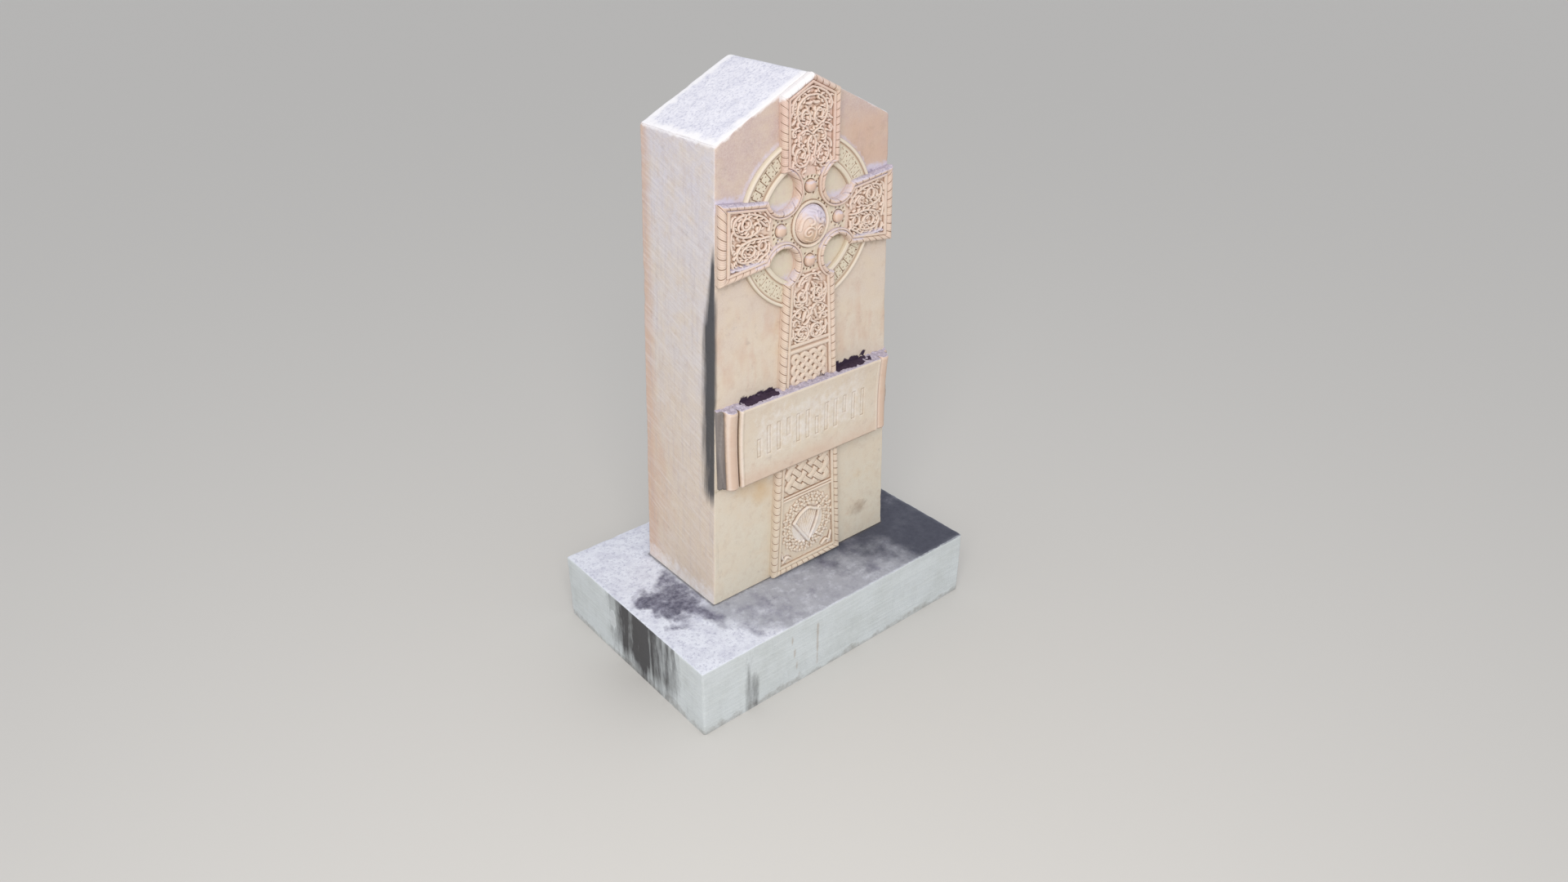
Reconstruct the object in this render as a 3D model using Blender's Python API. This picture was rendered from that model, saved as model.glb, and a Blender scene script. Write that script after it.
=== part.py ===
"""Headstone: a gabled stone tablet with a ringed cross carved on its face, standing on a plain base block.

World frame, in metres: the origin is under the middle of the base, X runs along the front,
the front faces -Y and Z is up. The tablet is worked out in a frame of its own, lying on its back:
x across the face, y up it and z proud of it. One sheared move then stands it on the base.
"""

import math
from collections import namedtuple

import bmesh
import bpy
from mathutils import Matrix, Vector

# Base block
BASE_WIDTH = 1.52
BASE_DEPTH = 1.035
BASE_HEIGHT = 0.32
BASE_ARRIS = 0.006

# Tablet, from its foot to its shoulders, and the gable above them
FOOT_WIDTH = 1.0
FOOT_DEPTH = 0.491
SHOULDER_WIDTH = 0.847
SHOULDER_DEPTH = 0.462
SHOULDER_HEIGHT = 1.926
GABLE_RISE = 0.204
TABLET_RIGHT = 0.041
TABLET_BACK = 0.049
BED_GAP = 0.0003

# Levels of the carving, proud of the tablet's face
SUNK = -0.008
RING_FIELD = 0.0105
RING_TOP = 0.0185
PANEL_FLOOR = 0.02
ROPE_EDGE = 0.023
DIVIDER_TOP = 0.032
FILLET_TOP = 0.033
ROPE_CROWN = 0.038

# Cross
CROSS_CENTRE = 1.575
CROSS_FOOT = 0.01
FACE_SETBACK = 0.002
SHAFT_FOOT_HALF = 0.198
SHAFT_NECK_HALF = 0.127
TOP_ARM_HALF = 0.137
SIDE_ARM_NECK_HALF = 0.125
SIDE_ARM_END_HALF = 0.153
ARMPIT_ACROSS = 0.138
ARMPIT_UP = 0.1425
ARMPIT_RADIUS = 0.072
RING_INNER = 0.233
RING_OUTER = 0.335
RING_OUTER_FILLET = 0.012
RING_INNER_FILLET = 0.018

# Rope border and the flat fillet inside it
ROPE_WIDTH = 0.028
ROPE_PITCH = 0.037
ROPE_LEAN = 0.35
FILLET_WIDTH = 0.012
HOLLOW_BORDER = 0.65
ARM_BORDER = 0.82
ARM_END_BORDER = 1.15
FILLET_LAP = 0.0015

# Bosses
BOSS_RADIUS = 0.076
BOSS_CROWN = 0.062
BOSS_RING_WIDTH = 0.012
STUD_RADIUS = 0.024
STUD_OFFSET = 0.146
STUD_CROWN = 0.04
BUD_HEIGHT = 1.821
BUD_RADIUS = 0.022

# Panels down the cross, from the tablet's foot up
HARP_PANEL = 0.3765
LOW_DIVIDER = 0.023
SCROLL_PANEL_FOOT = 1.1
HIGH_DIVIDER = 0.04
SCROLL_PANEL_TOP = 1.38
TOP_PANEL_FOOT = 1.775
DIVIDER_GROOVE = 0.3
SIDE_PANEL_INNER = 0.206

# Plaits: cell sizes and band widths of the upper and the lower one
HIGH_PLAIT_CELL = 0.0465
HIGH_PLAIT_BAND = 0.021
LOW_PLAIT_CELL = 0.0607
LOW_PLAIT_BAND = 0.028
PLAIT_COLUMNS = 4
PLAIT_MARGIN = 0.008
BAND_HIGH = 0.032
BAND_LOW = 0.025

# Scrollwork strands
STRAND_WIDTH = 0.015
STRAND_CROWN = 0.031
SCROLL_EYE = 0.3
RIDGE_FOOT = PANEL_FLOOR - 0.001

# Harp and its wreath
HARP_BAR = 0.013
STRING_WIDTH = 0.005
STRING_TOP = 0.025
STRINGS = 7
WREATH_WIDTH = 0.237
WREATH_HEIGHT = 0.238
WREATH_LEAVES = 14
LEAF_RADIUS = 0.0155
CORNER_LEAF = 0.064

# Banner across the shaft
BANNER_FOOT = 0.565
BANNER_HEIGHT = 0.35
BANNER_FACE_HALF = 0.384
BANNER_FRONT = 0.054
BANNER_TOP_CURL = 0.013
BANNER_FOOT_CURL = 0.006
ROLL_WIDTH = 0.054
ROLL_GROOVE = 0.012
TAIL_WIDTH = 0.024
STROKE_HEIGHT = 0.125
STROKE_WIDTH = 0.014
STROKE_DEPTH = 0.004
STROKE_PITCH = 0.041
STROKE_COUNT = 16
STROKE_LEAN = 0.18

# Facets
HOLLOW_FACETS = 9
RING_FACETS = 36
BOSS_FACETS = 14
STUD_FACETS = 8
SCROLL_FACET = 52
MERGE = 0.00002

LEAN = (FOOT_DEPTH - SHOULDER_DEPTH) / 2 / SHOULDER_HEIGHT
APEX = SHOULDER_HEIGHT + GABLE_RISE

Edge = namedtuple("Edge", "start end centre border side")
Panel = namedtuple("Panel", "left right low high")


def half_width(height):
    """Half the tablet's width at a height above its foot."""
    return (FOOT_WIDTH - (FOOT_WIDTH - SHOULDER_WIDTH) * height / SHOULDER_HEIGHT) / 2


def shaft_half(height):
    """Half the width of the cross's shaft, which spreads towards its foot."""
    neck = CROSS_CENTRE - ARMPIT_UP - ARMPIT_RADIUS
    share = (neck - height) / (neck - CROSS_FOOT)
    return SHAFT_NECK_HALF + (SHAFT_FOOT_HALF - SHAFT_NECK_HALF) * share


def gable_height(across):
    """Height of the gable's slope at a distance from the middle."""
    return APEX - GABLE_RISE * abs(across) / (SHOULDER_WIDTH / 2)


# Solids

def as_object(bm, name, group):
    """Closes a bmesh into an object of a collection, with its faces pointing out."""
    bmesh.ops.recalc_face_normals(bm, faces=bm.faces)
    mesh = bpy.data.meshes.new(name)
    bm.to_mesh(mesh)
    bm.free()
    solid = bpy.data.objects.new(name, mesh)
    group.objects.link(solid)
    return solid


def loft(rings, hollow=False):
    """A solid through rings of matching points, capped at both ends, or closed on itself as a frame."""
    bm = bmesh.new()
    loops = [[bm.verts.new(point) for point in ring] for ring in rings]
    pairs = list(zip(loops, loops[1:]))
    if hollow:
        pairs.append((loops[-1], loops[0]))
    else:
        bm.faces.new(loops[0])
        bm.faces.new(loops[-1])
    for low, high in pairs:
        for k, vert in enumerate(low):
            n = (k + 1) % len(low)
            bm.faces.new((vert, low[n], high[n], high[k]))
    return bm


def sheet(columns, rows, place, floor):
    """A solid with a surface whose grid points go where place(i, j) says, and a flat underside."""
    bm = bmesh.new()
    bmesh.ops.create_grid(bm, x_segments=columns, y_segments=rows, size=0.5)
    for index, vert in enumerate(bm.verts):
        vert.co = place(index % (columns + 1), index // (columns + 1))
    under = bmesh.ops.extrude_face_region(bm, geom=bm.faces[:])
    for item in under["geom"]:
        if isinstance(item, bmesh.types.BMVert):
            item.co.z = floor
    return bm


def ribbon(path, width, heights, group, ridge=True):
    """A strand that follows a path. A ridge slopes to both sides and a band is flat on top."""
    rows = 2 if ridge else 1
    normals = []
    for k in range(len(path)):
        along = path[min(k + 1, len(path) - 1)] - path[max(k - 1, 0)]
        normals.append(Vector((-along.y, along.x)).normalized())

    def place(i, j):
        point = path[i] + normals[i] * width * (j / rows - 0.5)
        high = heights[i] if j == 1 or not ridge else RIDGE_FOOT
        return Vector((point.x, point.y, high))

    return as_object(sheet(len(path) - 1, rows, place, RIDGE_FOOT - 0.004), "strand", group)


def dome(centre, radius, crown, level, facets, group):
    """A round boss that stands on a level of the carving."""
    bm = bmesh.new()
    rise = crown - level
    size = Matrix.Diagonal((radius, radius, rise, 1))
    bmesh.ops.create_uvsphere(
        bm, u_segments=facets, v_segments=6, radius=1,
        matrix=Matrix.Translation((centre[0], centre[1], level - 0.001)) @ size)
    return as_object(bm, "boss", group)


def bar(left, right, low, high, top, group):
    """A straight flat-topped bar."""
    rings = [[(left, low, z), (right, low, z), (right, high, z), (left, high, z)] for z in (SUNK, top)]
    return as_object(loft(rings), "bar", group)


# Paths

def spiral(centre, first, last, start, end, steps):
    """Points round a centre, from one radius and angle in degrees to another."""
    points = []
    for k in range(steps + 1):
        share = k / steps
        angle = math.radians(start + (end - start) * share)
        radius = first + (last - first) * share
        points.append(Vector(centre) + Vector((math.cos(angle), math.sin(angle))) * radius)
    return points


def smooth(knots, steps):
    """A smooth curve through knots, with a few points between each two."""
    ends = [knots[0] * 2 - knots[1]] + list(knots) + [knots[-1] * 2 - knots[-2]]
    points = []
    for a, b, c, d in zip(ends, ends[1:], ends[2:], ends[3:]):
        for k in range(steps):
            t = k / steps
            points.append((b * 2 + (c - a) * t + (a * 2 - b * 5 + c * 4 - d) * t ** 2
                           + (b * 3 - a - c * 3 + d) * t ** 3) / 2)
    return points + [knots[-1]]


def mirrored(path):
    """The same path on the other side of the cross's middle line."""
    return [Vector((-point.x, point.y)) for point in path]


# Cross

def cross_edges():
    """The cross's outline, anticlockwise from its foot: straight edges and the four round hollows."""
    def turned(edge):
        centre = edge.centre and Vector((-edge.centre.x, edge.centre.y))
        return Edge(Vector((-edge.end.x, edge.end.y)), Vector((-edge.start.x, edge.start.y)),
                    centre, edge.border, -edge.side)

    def arm_end(sign):
        height = CROSS_CENTRE + sign * SIDE_ARM_END_HALF
        return Vector((half_width(height) - FACE_SETBACK, height))

    def arm_neck(sign):
        return Vector((ARMPIT_ACROSS + ARMPIT_RADIUS, CROSS_CENTRE + sign * SIDE_ARM_NECK_HALF))

    shaft_neck = CROSS_CENTRE - ARMPIT_UP - ARMPIT_RADIUS
    eave = Vector((TOP_ARM_HALF, gable_height(TOP_ARM_HALF) - FACE_SETBACK))
    top_neck = Vector((TOP_ARM_HALF, CROSS_CENTRE + ARMPIT_UP))
    foot = Vector((SHAFT_FOOT_HALF, CROSS_FOOT))
    neck = Vector((SHAFT_NECK_HALF, shaft_neck))
    low_hollow = Vector((ARMPIT_ACROSS, CROSS_CENTRE - ARMPIT_UP))
    high_hollow = Vector((ARMPIT_ACROSS, CROSS_CENTRE + ARMPIT_UP))
    right = [
        Edge(foot, neck, None, 1, 1),
        Edge(neck, arm_neck(-1), low_hollow, HOLLOW_BORDER, 1),
        Edge(arm_neck(-1), arm_end(-1), None, ARM_BORDER, 1),
        Edge(arm_end(-1), arm_end(1), None, ARM_END_BORDER, 1),
        Edge(arm_end(1), arm_neck(1), None, ARM_BORDER, 1),
        Edge(arm_neck(1), top_neck, high_hollow, HOLLOW_BORDER, 1),
        Edge(top_neck, eave, None, ARM_BORDER, 1),
        Edge(eave, Vector((0, APEX - FACE_SETBACK)), None, ARM_BORDER, 1),
    ]
    bottom = Edge(Vector((-foot.x, foot.y)), foot, None, 1, 1)
    return [bottom] + right + [turned(edge) for edge in reversed(right)]


def shifted(edge, inset):
    """An edge moved into the cross: a point and a direction, or the hollow's centre and radius."""
    if edge.centre:
        return edge.centre, ARMPIT_RADIUS + inset * edge.border
    along = (edge.end - edge.start).normalized()
    return edge.start + Vector((-along.y, along.x)) * inset * edge.border, along


def corner(first, second, inset):
    """Where two neighbouring edges meet once both have moved into the cross."""
    if first.centre or second.centre:
        line, hollow = (second, first) if first.centre else (first, second)
        point, along = shifted(line, inset)
        centre, radius = shifted(hollow, inset)
        middle = along.dot(centre - point)
        across = (point + along * middle - centre).length
        reach = math.sqrt(max(radius ** 2 - across ** 2, 0))
        meets = [point + along * (middle + sign * reach) for sign in (-1, 1)]
        return max(meets, key=lambda place: (place - Vector((0, CROSS_CENTRE))).length)
    point, along = shifted(first, inset)
    other, way = shifted(second, inset)
    gap = other - point
    return point + along * (gap.cross(way) / along.cross(way))


def edge_points(edge, start, end, steps, lean):
    """Points along one edge, leaving out its end."""
    shares = [k / steps + (edge.side * lean / steps if k else 0) for k in range(steps)]
    if not edge.centre:
        return [start.lerp(end, share) for share in shares]
    first = math.atan2(*(start - edge.centre).yx)
    last = math.atan2(*(end - edge.centre).yx)
    sweep = (first - last) % math.tau
    radius = (start - edge.centre).length
    return [edge.centre + Vector((math.cos(first - sweep * s), math.sin(first - sweep * s))) * radius
            for s in shares]


def outline(inset, strands, lean=0.0):
    """The cross's outline moved in by a distance, with a point at each strand of the rope or fewer."""
    edges = cross_edges()
    count = len(edges)
    edge_corners = [corner(edges[k - 1], edge, inset) for k, edge in enumerate(edges)]
    points = []
    for k, edge in enumerate(edges):
        if strands or edge.centre:
            length = (edge.end - edge.start).length
            steps = HOLLOW_FACETS if edge.centre else max(1, round(length / ROPE_PITCH))
        else:
            steps = 1
        points += edge_points(edge, edge_corners[k], edge_corners[(k + 1) % count], steps, lean)
    return points


def at_level(points, level):
    """Flat points lifted to one level of the carving."""
    return [(point.x, point.y, level) for point in points]


def rope_slab(group):
    """The cross's raised ground, with a rope of leaning strands over its edge."""
    edge = outline(0, True)
    bm = loft([at_level(edge, SUNK), at_level(edge, ROPE_EDGE),
               at_level(outline(ROPE_WIDTH, True, ROPE_LEAN), PANEL_FLOOR)])
    strands = [face for face in bm.faces if len(face.verts) == 4
               and min(vert.co.z for vert in face.verts) > SUNK / 2]
    crowns = bmesh.ops.poke(bm, faces=strands)
    for vert in crowns["verts"]:
        vert.co.z = ROPE_CROWN
    return as_object(bm, "rope_slab", group)


def fillet_frame(group):
    """The flat fillet that runs inside the rope, all round the cross."""
    outer = outline(ROPE_WIDTH - FILLET_LAP, False)
    inner = outline(ROPE_WIDTH + FILLET_WIDTH, False)
    return as_object(loft([at_level(outer, SUNK), at_level(outer, FILLET_TOP),
                           at_level(inner, FILLET_TOP), at_level(inner, SUNK)], hollow=True),
                     "fillet", group)


def turned_ring(name, profile, facets, group):
    """A ring round the cross's centre, spun from a closed profile of radii and levels."""
    bm = bmesh.new()
    verts = [bm.verts.new((radius, CROSS_CENTRE, level)) for radius, level in profile]
    edges = [bm.edges.new((vert, verts[k - 1])) for k, vert in enumerate(verts)]
    bmesh.ops.spin(bm, geom=verts + edges, cent=(0, CROSS_CENTRE, 0), axis=(0, 0, 1),
                   angle=math.tau, steps=facets, use_merge=True)
    bmesh.ops.remove_doubles(bm, verts=bm.verts, dist=MERGE)
    return as_object(bm, name, group)


def wheel(group):
    """The ring that joins the arms: a sunk field between two raised fillets."""
    field_in = RING_INNER + RING_INNER_FILLET
    field_out = RING_OUTER - RING_OUTER_FILLET
    return turned_ring("wheel", [
        (RING_INNER, SUNK), (RING_OUTER, SUNK), (RING_OUTER, RING_TOP), (field_out, RING_TOP),
        (field_out, RING_FIELD), (field_in, RING_FIELD), (field_in, RING_TOP), (RING_INNER, RING_TOP),
    ], RING_FACETS, group)


def bosses(group):
    """The middle boss in its ring, four smooth studs round it and the bud above."""
    centre = Vector((0, CROSS_CENTRE))
    dome(centre, BOSS_RADIUS, BOSS_CROWN, PANEL_FLOOR, BOSS_FACETS, group)
    turned_ring("boss_ring", [
        (BOSS_RADIUS - 0.002, SUNK), (BOSS_RADIUS + BOSS_RING_WIDTH, SUNK),
        (BOSS_RADIUS + BOSS_RING_WIDTH, PANEL_FLOOR + 0.006),
        (BOSS_RADIUS + BOSS_RING_WIDTH / 2, FILLET_TOP), (BOSS_RADIUS - 0.002, FILLET_TOP - 0.004),
    ], 2 * BOSS_FACETS, group)
    for quarter in range(4):
        turn = quarter * math.tau / 4
        spot = centre + Vector((math.cos(turn), math.sin(turn))) * STUD_OFFSET
        dome(spot, STUD_RADIUS, STUD_CROWN, PANEL_FLOOR, STUD_FACETS, group)
    dome((0, BUD_HEIGHT), BUD_RADIUS, STRAND_CROWN + 0.003, PANEL_FLOOR, 4, group)


# Panels of carving

def dividers(group):
    """Two pairs of flat fillets across the shaft, between its panels."""
    for low, height in ((HARP_PANEL, LOW_DIVIDER), (SCROLL_PANEL_FOOT - HIGH_DIVIDER, HIGH_DIVIDER)):
        fillet = height * (1 - DIVIDER_GROOVE) / 2
        for foot in (low, low + height - fillet):
            half = shaft_half(foot + height) - ROPE_WIDTH - FILLET_WIDTH / 2
            bar(-half, half, foot, foot + fillet, DIVIDER_TOP, group)


def strand_loops(columns, rows):
    """The closed strands of a plait on a lattice of half cells, each a list of lattice places."""
    left = {(i, j) for i in range(2 * columns + 1) for j in range(2 * rows + 1) if (i + j) % 2}
    seen = set()
    loops = []
    for start in sorted(left):
        for way in ((1, 1), (1, -1)):
            place, step, loop = start, way, []
            while (place, step[0] * step[1]) not in seen:
                seen.add((place, step[0] * step[1]))
                loop.append(place)
                if place[0] + step[0] not in range(2 * columns + 1):
                    step = (-step[0], step[1])
                    seen.add((place, step[0] * step[1]))
                if place[1] + step[1] not in range(2 * rows + 1):
                    step = (step[0], -step[1])
                    seen.add((place, step[0] * step[1]))
                place = (place[0] + step[0], place[1] + step[1])
            if loop:
                loops.append(loop)
    return loops


def plait(low, cell, band, columns, rows, group):
    """A plait of flat bands. Each piece dives under a band at both ends and rides over one between."""
    def flat(i, j):
        return Vector(((i / 2 - columns / 2) * cell, low + j / 2 * cell))

    def turn(place, axis, limit):
        """Points of the round turn at the panel's edge."""
        inward = 1 if place[axis] == 0 else -1
        for along, depth in ((-0.6, 0.42), (0, 0.2), (0.6, 0.42)):
            spot = list(place)
            spot[axis] += inward * depth
            spot[1 - axis] += along * limit
            yield flat(*spot)

    for loop in strand_loops(columns, rows):
        count = len(loop)
        trail = []
        for k, place in enumerate(loop):
            before, after = loop[k - 1], loop[(k + 1) % count]
            axis = 0 if place[0] in (0, 2 * columns) else 1 if place[1] in (0, 2 * rows) else None
            if axis is None:
                rising = (after[0] - place[0]) * (after[1] - place[1]) > 0
                over = rising == (place[0] % 2 == 1)
                trail.append((flat(*place), BAND_HIGH if over else BAND_LOW, not over))
            else:
                way = (after[1 - axis] - before[1 - axis]) / 2
                middle = (BAND_HIGH + BAND_LOW) / 2
                trail += [(spot, middle, False) for spot in turn(place, axis, way)]
        first = next(k for k, item in enumerate(trail) if item[2])
        trail = trail[first:] + trail[:first + 1]
        piece = [trail[0]]
        for item in trail[1:]:
            piece.append(item)
            if item[2]:
                spots = [spot for spot, high, under in piece]
                spots[0] = spots[0] + (spots[1] - spots[0]).normalized() * band / 8
                spots[-1] = spots[-1] + (spots[-2] - spots[-1]).normalized() * band / 8
                ribbon(spots, band, [high for spot, high, under in piece], group, ridge=False)
                piece = [item]


def plaits(group):
    """The plait above the banner and the wider one below it; both run on behind it."""
    top = SCROLL_PANEL_FOOT - HIGH_DIVIDER - PLAIT_MARGIN
    foot = HARP_PANEL + LOW_DIVIDER + PLAIT_MARGIN
    high_rows = math.ceil((top - BANNER_FOOT - BANNER_HEIGHT) / HIGH_PLAIT_CELL + 0.5)
    low_rows = math.ceil((BANNER_FOOT - foot) / LOW_PLAIT_CELL + 0.5)
    plait(top - high_rows * HIGH_PLAIT_CELL, HIGH_PLAIT_CELL, HIGH_PLAIT_BAND, PLAIT_COLUMNS,
          high_rows, group)
    plait(foot, LOW_PLAIT_CELL, LOW_PLAIT_BAND, PLAIT_COLUMNS, low_rows, group)


def place_in(panel, across, up):
    """A place in a panel, from shares of its width and height."""
    return Vector((panel.left + (panel.right - panel.left) * across,
                   panel.low + (panel.high - panel.low) * up))


def scrollwork(panel, scrolls, stems, group, mirror):
    """Spiral scrolls and the stems that join them. Radii are shares of the panel's width."""
    paths = []
    size = panel.right - panel.left
    for across, up, radius, start, end in scrolls:
        steps = max(5, round(abs(end - start) / SCROLL_FACET))
        paths.append(spiral(place_in(panel, across, up), radius * size, radius * size * SCROLL_EYE,
                            start, end, steps))
    for knots in stems:
        paths.append(smooth([place_in(panel, *knot) for knot in knots], 2))
    for path in paths:
        heights = [STRAND_CROWN] * len(path)
        for route in (path, mirrored(path)) if mirror else (path,):
            ribbon(route, STRAND_WIDTH, heights, group)


def shaft_scrolls(group):
    """Three tiers of paired scrolls below the cross's middle."""
    half = shaft_half(SCROLL_PANEL_TOP) - ROPE_WIDTH - FILLET_WIDTH
    panel = Panel(0, half, SCROLL_PANEL_FOOT, SCROLL_PANEL_TOP)
    scrolls = [(0.5, 0.67, 0.4, -100, 290), (0.42, 0.4, 0.36, 215, -130), (0.49, 0.155, 0.42, 30, -370)]
    stems = [
        ((0.12, 0.96), (0.5, 0.95), (0.86, 0.83)),
        ((0.12, 0.87), (0.24, 0.8), (0.14, 0.6)),
        ((0.62, 0.28), (0.8, 0.36), (0.95, 0.29)),
    ]
    scrollwork(panel, scrolls, stems, group, mirror=True)


def top_scrolls(group):
    """Scrollwork under the gable, with an arched top and a waist at its middle."""
    half = TOP_ARM_HALF - ROPE_WIDTH - FILLET_WIDTH
    top = APEX - (ROPE_WIDTH + FILLET_WIDTH) / math.cos(math.atan(2 * GABLE_RISE / SHOULDER_WIDTH))
    panel = Panel(0, half, TOP_PANEL_FOOT, top)
    scrolls = [(0.47, 0.645, 0.39, -60, 300), (0.47, 0.235, 0.39, 150, -260)]
    stems = [
        ((0.07, 0.955), (0.45, 0.89), (0.77, 0.8), (0.92, 0.68)),
        ((0.08, 0.8), (0.27, 0.82), (0.5, 0.8)),
        ((0.1, 0.44), (0.3, 0.4), (0.6, 0.43), (0.9, 0.5)),
        ((0.26, 0.04), (0.4, 0.02), (0.55, 0.06)),
    ]
    scrollwork(panel, scrolls, stems, group, mirror=True)


def side_scrolls(group):
    """Two thick coils on each side arm, one above the other, with a band woven through both."""
    reach = half_width(CROSS_CENTRE) - FACE_SETBACK - (ROPE_WIDTH + FILLET_WIDTH) * ARM_END_BORDER
    half = (SIDE_ARM_NECK_HALF + SIDE_ARM_END_HALF) / 2 - ROPE_WIDTH - FILLET_WIDTH
    panel = Panel(SIDE_PANEL_INNER, reach, CROSS_CENTRE - half, CROSS_CENTRE + half)
    scrolls = [(0.5, 0.73, 0.27, 200, -270), (0.5, 0.27, 0.27, 160, 630)]
    stems = [
        ((0.1, 0.6), (0.08, 0.8), (0.3, 0.96), (0.7, 0.97), (0.93, 0.8), (0.9, 0.58), (0.6, 0.5)),
        ((0.1, 0.4), (0.08, 0.2), (0.3, 0.04), (0.7, 0.03), (0.93, 0.2), (0.9, 0.42), (0.6, 0.5)),
        ((0.1, 0.5), (0.35, 0.5), (0.6, 0.5)),
    ]
    scrollwork(panel, scrolls, stems, group, mirror=True)


def harp(group):
    """A plain harp: a straight soundbox, a bowed pillar, a curved neck and its strings."""
    low = CROSS_FOOT + ROPE_WIDTH + FILLET_WIDTH
    centre = Vector((0, (low + HARP_PANEL) / 2 + HARP_BAR))

    def at(across, up):
        return centre + Vector((across * WREATH_WIDTH, up * WREATH_HEIGHT))

    foot, shoulder, head = at(0.02, -0.4), at(-0.33, 0.1), at(0.27, 0.2)
    bars = [
        [shoulder, shoulder.lerp(foot, 0.5), foot],
        smooth([head, at(0.24, 0.02), at(0.14, -0.2), foot], 2),
        smooth([shoulder, at(-0.2, 0.24), at(0, 0.32), at(0.15, 0.25), head], 2),
    ]
    for path in bars:
        ribbon(path, HARP_BAR, [STRAND_CROWN] * len(path), group)
    for k in range(STRINGS):
        share = (k + 1) / (STRINGS + 1)
        top = shoulder.lerp(head, share) + Vector((0, math.sin(math.pi * share) * WREATH_HEIGHT / 8))
        ribbon([top, shoulder.lerp(foot, share ** 0.7)], STRING_WIDTH, [STRING_TOP] * 2, group)
    return centre


def wreath(centre, group):
    """An oval wreath of three-lobed leaves round the harp."""
    for k in range(WREATH_LEAVES):
        angle = math.tau * (k + 0.5) / WREATH_LEAVES
        spot = centre + Vector((math.cos(angle) * (WREATH_WIDTH / 2), math.sin(angle) * WREATH_HEIGHT / 2))
        for lobe in range(3):
            turn = angle + math.tau * (lobe / 3)
            tip = spot + Vector((math.cos(turn), math.sin(turn))) * LEAF_RADIUS * 0.85
            bm = bmesh.new()
            bmesh.ops.create_cone(
                bm, cap_ends=True, segments=6, radius1=LEAF_RADIUS, radius2=LEAF_RADIUS * 0.35,
                depth=STRAND_CROWN - RIDGE_FOOT,
                matrix=Matrix.Translation((tip.x, tip.y, (STRAND_CROWN + RIDGE_FOOT) / 2 - 0.001 * lobe)))
            as_object(bm, "leaf", group)


def corner_leaves(group):
    """A low arched leaf in each bottom corner of the harp's panel."""
    low = CROSS_FOOT + ROPE_WIDTH + FILLET_WIDTH
    right = shaft_half(low) - ROPE_WIDTH - FILLET_WIDTH - STRAND_WIDTH / 2
    rise = Vector((0, CORNER_LEAF / 3))
    start, end = Vector((right - CORNER_LEAF, low + STRAND_WIDTH)), Vector((right, low + STRAND_WIDTH / 2))
    path = smooth([start, start.lerp(end, 0.5) + rise, end], 2)
    for route in (path, mirrored(path)):
        ribbon(route, STRAND_WIDTH, [STRAND_CROWN] * len(route), group)


# Banner

def banner_front(height):
    """How far the banner's face stands out at a height: it curls forward at its top and foot."""
    share = (height - BANNER_FOOT) / BANNER_HEIGHT * 2 - 1
    return BANNER_FRONT + (BANNER_TOP_CURL if share > 0 else BANNER_FOOT_CURL) * share ** 2


def banner(group):
    """A scroll across the shaft: a slightly hollow face, a roll at each end and a tail folded back."""
    roll = ROLL_WIDTH / 2
    centre = BANNER_FACE_HALF + roll
    side = [(0.0, 1.0), (BANNER_FACE_HALF - ROLL_GROOVE / 2, 1.0)]
    for angle in (168, 130, 90, 50, 15):
        turn = math.radians(angle)
        side.append((centre + roll * math.cos(turn), 0.55 + 0.45 * math.sin(turn)))
    side += [(centre + roll + 0.001, 0.3), (centre + roll + TAIL_WIDTH, 0.04)]
    profile = [(-across, share) for across, share in reversed(side[1:])] + side
    rows = 6

    def place(i, j):
        across, share = profile[i]
        height = BANNER_FOOT + BANNER_HEIGHT * j / rows
        return Vector((across, height, banner_front(height) * share))

    return as_object(sheet(len(profile) - 1, rows, place, SUNK), "banner", group)


def stroke_cutters(group):
    """A row of shallow leaning cuts across the banner's face, long and short in turn."""
    middle = BANNER_FOOT + BANNER_HEIGHT * 0.47
    for k in range(STROKE_COUNT):
        across = (k - (STROKE_COUNT - 1) / 2) * STROKE_PITCH
        length = STROKE_HEIGHT * (1 if k % 3 else 0.6)
        rings = []
        for end in (-0.5, 0.5):
            x = across + end * length * STROKE_LEAN
            y = middle + end * length + (STROKE_HEIGHT - length) / 2 * (1 if k % 2 else -1)
            rings.append([(x - STROKE_WIDTH, y, BANNER_FRONT + STROKE_DEPTH),
                          (x, y, BANNER_FRONT - STROKE_DEPTH),
                          (x + STROKE_WIDTH, y, BANNER_FRONT + STROKE_DEPTH)])
        as_object(loft(rings), "stroke", group)


# The two stones

def stone(name, colour, roughness):
    """A plain stone material."""
    material = bpy.data.materials.new(name)
    material.use_nodes = True
    shader = material.node_tree.nodes["Principled BSDF"]
    shader.inputs["Base Color"].default_value = (*colour, 1)
    shader.inputs["Roughness"].default_value = roughness
    shader.inputs["Metallic"].default_value = 0
    return material


def tool_group(name):
    """A collection for solids that are joined to the tablet or cut from it."""
    group = bpy.data.collections.new(name)
    bpy.context.scene.collection.children.link(group)
    return group


def combine(target, group, operation):
    """Joins a group's solids to the target, or cuts them from it, and clears the group away."""
    for solid in group.objects:
        solid.hide_render = True
        solid.display_type = "WIRE"
    step = target.modifiers.new(operation, "BOOLEAN")
    step.operation = operation
    step.operand_type = "COLLECTION"
    step.collection = group
    step.solver = "EXACT"
    result = bpy.data.meshes.new_from_object(
        target.evaluated_get(bpy.context.evaluated_depsgraph_get()))
    target.modifiers.clear()
    target.data = result
    for solid in list(group.objects):
        bpy.data.objects.remove(solid, do_unlink=True)


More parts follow.
